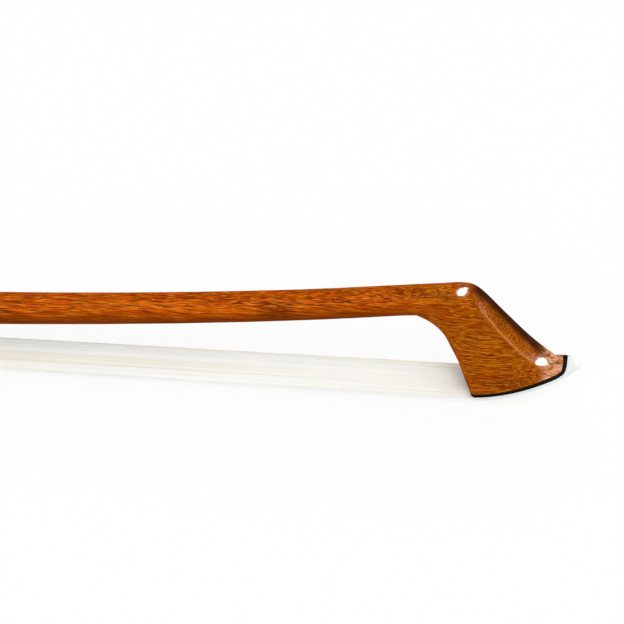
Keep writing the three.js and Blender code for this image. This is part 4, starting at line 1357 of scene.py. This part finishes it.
@dataclass
class Frog:
    """The ebony frog with its mountings, which slides along the handle."""

    eased_pieces: tuple[tuple[str, str, Finish, float], ...] = (
        ("ebony_of_frog", "frog_block", EBONY, 0.22),
        ("ferrule_of_frog", "frog_ferrule", SILVER, 0.12),
        ("wedge_of_frog", "frog_hair_wedge", SOFTWOOD, 0.08),
        ("plug_of_frog", "frog_hair_plug", SOFTWOOD, 0.08),
        ("pearl_of_slide", "slide_pearl", NACRE, 0.08),
        ("backing_of_slide", "slide_backing", EBONY, 0.06),
        ("base_of_heel", "heel_plate_base", SILVER, 0.08),
        ("back_of_heel", "heel_plate_back", SILVER, 0.08),
        ("pin_1_of_heel", "heel_pin_1", STEEL, 0.1),
        ("pin_2_of_heel", "heel_pin_2", STEEL, 0.1),
        ("ring_of_right_eye", "eye_ring_right", SILVER, 0.08),
        ("ring_of_left_eye", "eye_ring_left", SILVER, 0.08),
        ("pearl_of_right_eye", "eye_pearl_right", NACRE, 0.08),
        ("pearl_of_left_eye", "eye_pearl_left", NACRE, 0.08),
        ("silver_underslide", "underslide", SILVER, 0.06),
        ("screw_1_of_underslide", "underslide_screw_1", STEEL, 0.08),
        ("screw_2_of_underslide", "underslide_screw_2", STEEL, 0.08),
        ("brass_eyelet", "screw_eyelet", BRASS, 0.1),
    )

    def build(self, maker: Maker) -> None:
        """Makes the frog's pieces.

        Args:
            maker: Puts the pieces in the frame.
        """
        for name, node, finish, width in self.eased_pieces:
            maker.ease(name, node, finish, Body.FROG, width)


@dataclass
class Adjuster:
    """The adjusting screw and its button, which turn together."""

    line: Line
    eased_pieces: tuple[tuple[str, str, Finish, float], ...] = (
        ("collar_of_button", "button_collar", SILVER, 0.12),
        ("core_of_button", "button_core", EBONY, 0.12),
        ("cap_of_button", "button_cap", SILVER, 0.12),
        ("pearl_of_button", "button_pearl", NACRE, 0.15),
    )
    radius: float = 1.45
    pilot: float = 1.15
    pitch: float = 0.7
    thread_depth: float = 0.22
    chamfer: float = 0.3
    point: float = 0.5
    rear: float = -8.78
    thread_start: float = 12
    thread_end: float = 37
    end: float = 47
    sides: int = 24
    steps_a_turn: int = 6

    def build(self, maker: Maker) -> None:
        """Makes the screw and the button.

        Args:
            maker: Puts the pieces in the frame.
        """
        for name, node, finish, width in self.eased_pieces:
            maker.ease(name, node, finish, Body.SCREW, width)
        rings = [self._ring(self.rear, self.radius - self.chamfer)]
        rings.append(self._ring(self.rear + self.chamfer, self.radius))
        rings.append(self._ring(self.thread_start, self.radius))
        count = int((self.thread_end - self.thread_start) / self.pitch * self.steps_a_turn)
        for i in range(1, count):
            x = blended(self.thread_start, self.thread_end, i / count)
            rings.append(self._ring(x, self.radius, self.thread_depth))
        rings += [self._ring(self.thread_end, self.pilot), self._ring(self.end - self.point, self.pilot)]
        rings.append(self._ring(self.end, self.pilot - self.point))
        mesh = skin(rings)
        mesh.transform(self.line.lean)
        maker.add("screw_rod", eased(mesh, 0, 40), STEEL, Body.SCREW, "adjusting_screw")

    def _ring(self, x: float, radius: float, depth: float = 0) -> Ring:
        """One section of the screw, with its thread cut to a depth."""
        ring = []
        for k in range(self.sides):
            turn = k / self.sides
            wave = abs(((x / self.pitch - turn) % 1) * 2 - 1)
            r = radius - depth * (1 - wave)
            ring.append(Vector((x, r * math.cos(2 * math.pi * turn), r * math.sin(2 * math.pi * turn))))
        return ring


# The studio


@dataclass(frozen=True)
class Lamp:
    """A lamp over the bow."""

    name: str
    aim: Vector3  # from the beak's tip on the floor, in millimetres
    towards: Vector3  # direction from there to the lamp
    distance: float
    size: tuple[float, float]  # width and height
    radiance: float  # how bright its face is, where 1 is white
    glint: bool = False  # there to be seen in polished surfaces, rather than to light them


@dataclass
class Studio:
    """Camera, floor, lamps and surroundings."""

    pixels: int = 624
    pixels_per_mm: float = 5.2
    anchor: tuple[float, float] = (471.0, 382.0)
    elevation: float = math.radians(44)
    roll: float = math.radians(3.53)
    distance: float = 0.9
    sensor: float = 36.0
    floor_radius: float = 12.0
    sky: float = 0.84
    floor_drop: float = 0.2
    lamps: tuple[Lamp, ...] = (
        Lamp("key", (-23.8, -1.2, 26), (-0.03, -0.48, 0.87), 1.5, (0.6, 0.6), 5),
        Lamp("brow_glint", (-23.8, -1.2, 26), (-0.03, -0.4, 0.92), 1.2, (0.3, 1.0), 200, glint=True),
        Lamp("flare_glint", (-7.8, -2.5, 9), (0.88, -0.46, 0.12), 0.9, (0.3, 0.2), 190, glint=True),
    )

    def axes(self) -> tuple[Vector, Vector, Vector]:
        """Right, up and forward of the camera."""
        forward = Vector((0, math.cos(self.elevation), -math.sin(self.elevation)))
        across = Vector((1, 0, 0))
        over = across.cross(forward)
        right = across * math.cos(self.roll) + over * math.sin(self.roll)
        up = over * math.cos(self.roll) - across * math.sin(self.roll)
        return right, up, forward

    def camera(self) -> None:
        """Stands the camera where the photograph was taken from."""
        right, up, forward = self.axes()
        corner = Vector((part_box("head_plate")[0][0], 0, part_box("hair_ribbon")[0][2] + 0.3 * MM))
        scale = MM / self.pixels_per_mm
        middle = self.pixels / 2
        target = corner + right * ((middle - self.anchor[0]) * scale)
        target = target + up * ((self.anchor[1] - middle) * scale)
        data = bpy.data.cameras.new("camera")
        data.sensor_width = self.sensor
        data.lens = self.sensor * self.distance / (self.pixels * scale)
        data.clip_start = 0.01
        data.clip_end = 60
        made = bpy.data.objects.new("camera", data)
        bpy.context.scene.collection.objects.link(made)
        turn = Matrix((right, up, -forward)).transposed().to_4x4()
        made.matrix_world = Matrix.Translation(target - forward * self.distance) @ turn
        bpy.context.scene.camera = made

    def floor(self) -> None:
        """Lays a pale floor under the bow."""
        work = bmesh.new()
        bmesh.ops.create_circle(work, cap_ends=True, segments=64, radius=self.floor_radius)
        mesh = bpy.data.meshes.new("floor")
        work.to_mesh(mesh)
        work.free()
        graph = Surface("pale_floor")
        graph.set(Base_Color=(0.98, 0.98, 0.98), Roughness=0.9, Specular_IOR_Level=0.0)
        white = graph.node("ShaderNodeEmission", inputs={"Color": (1, 1, 1), "Strength": 1.0})
        both = graph.node("ShaderNodeMixShader", inputs={0: graph.seen() * 0.86, 1: graph.plain, 2: white})
        graph.put(graph.out.inputs["Surface"], both)
        mesh.materials.append(graph.material)
        made = bpy.data.objects.new("floor", mesh)
        made.location.z = -self.floor_drop * MM
        bpy.context.scene.collection.objects.link(made)
        made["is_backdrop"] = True

    def hang(self, lamp: Lamp, beak: float) -> None:
        """Hangs a lamp, aimed from the place of the beak along the bow."""
        data = bpy.data.lights.new(lamp.name, "AREA")
        data.shape = "ELLIPSE"
        data.size, data.size_y = lamp.size
        data.energy = lamp.radiance * math.pi * math.pi * lamp.size[0] * lamp.size[1] / 4
        made = bpy.data.objects.new(lamp.name, data)
        bpy.context.scene.collection.objects.link(made)
        made.visible_diffuse = not lamp.glint
        made.visible_glossy = lamp.glint
        towards = Vector(lamp.towards)
        aim = Vector((beak, 0, 0)) + Vector(lamp.aim) * MM
        made.location = aim + towards.normalized() * lamp.distance
        made.rotation_euler = towards.to_track_quat("Z", "Y").to_euler()

    def surroundings(self) -> None:
        """Sets the light that comes from all round."""
        world = bpy.data.worlds.new("studio")
        world.use_nodes = True
        graph = Graph(world.node_tree)
        range_of = {0: graph.seen(), "To Min": self.sky, "To Max": 1.0}
        strength = graph.node("ShaderNodeMapRange", inputs=range_of)
        light = graph.node("ShaderNodeBackground", inputs={"Color": (1, 1, 1), "Strength": strength})
        graph.add("ShaderNodeOutputWorld", inputs={"Surface": light})
        bpy.context.scene.world = world

    def build(self) -> None:
        """Sets up the studio."""
        self.camera()
        self.floor()
        self.surroundings()
        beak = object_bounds()[1][0]
        for lamp in self.lamps:
            self.hang(lamp, beak)
        bpy.context.scene.view_settings.view_transform = "Standard"


def main() -> None:
    """Builds the bow, piece by piece, and its studio."""
    logging.basicConfig(level=logging.INFO, format="%(name)s %(message)s")
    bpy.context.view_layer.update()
    line = Line()
    eye = sum((Vector(corner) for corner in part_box("eye_pearl_right")), Vector()) / 2 / MM
    place = line.lean @ Vector((line.frog_rear + 21, 0, -12.2))
    maker = Maker(origin=Vector((eye.x - place.x, 0, eye.z - place.z)))
    studio = Studio()
    head = Head(line)
    Stick(line, head).build(maker)
    head.build(maker)
    Hair(line).build(maker)
    Grip(line).build(maker)
    Frog().build(maker)
    Adjuster(line).build(maker)
    studio.build()
    LOG.info("%d pieces", len(maker.pieces))


if __name__ == "__main__":
    main()
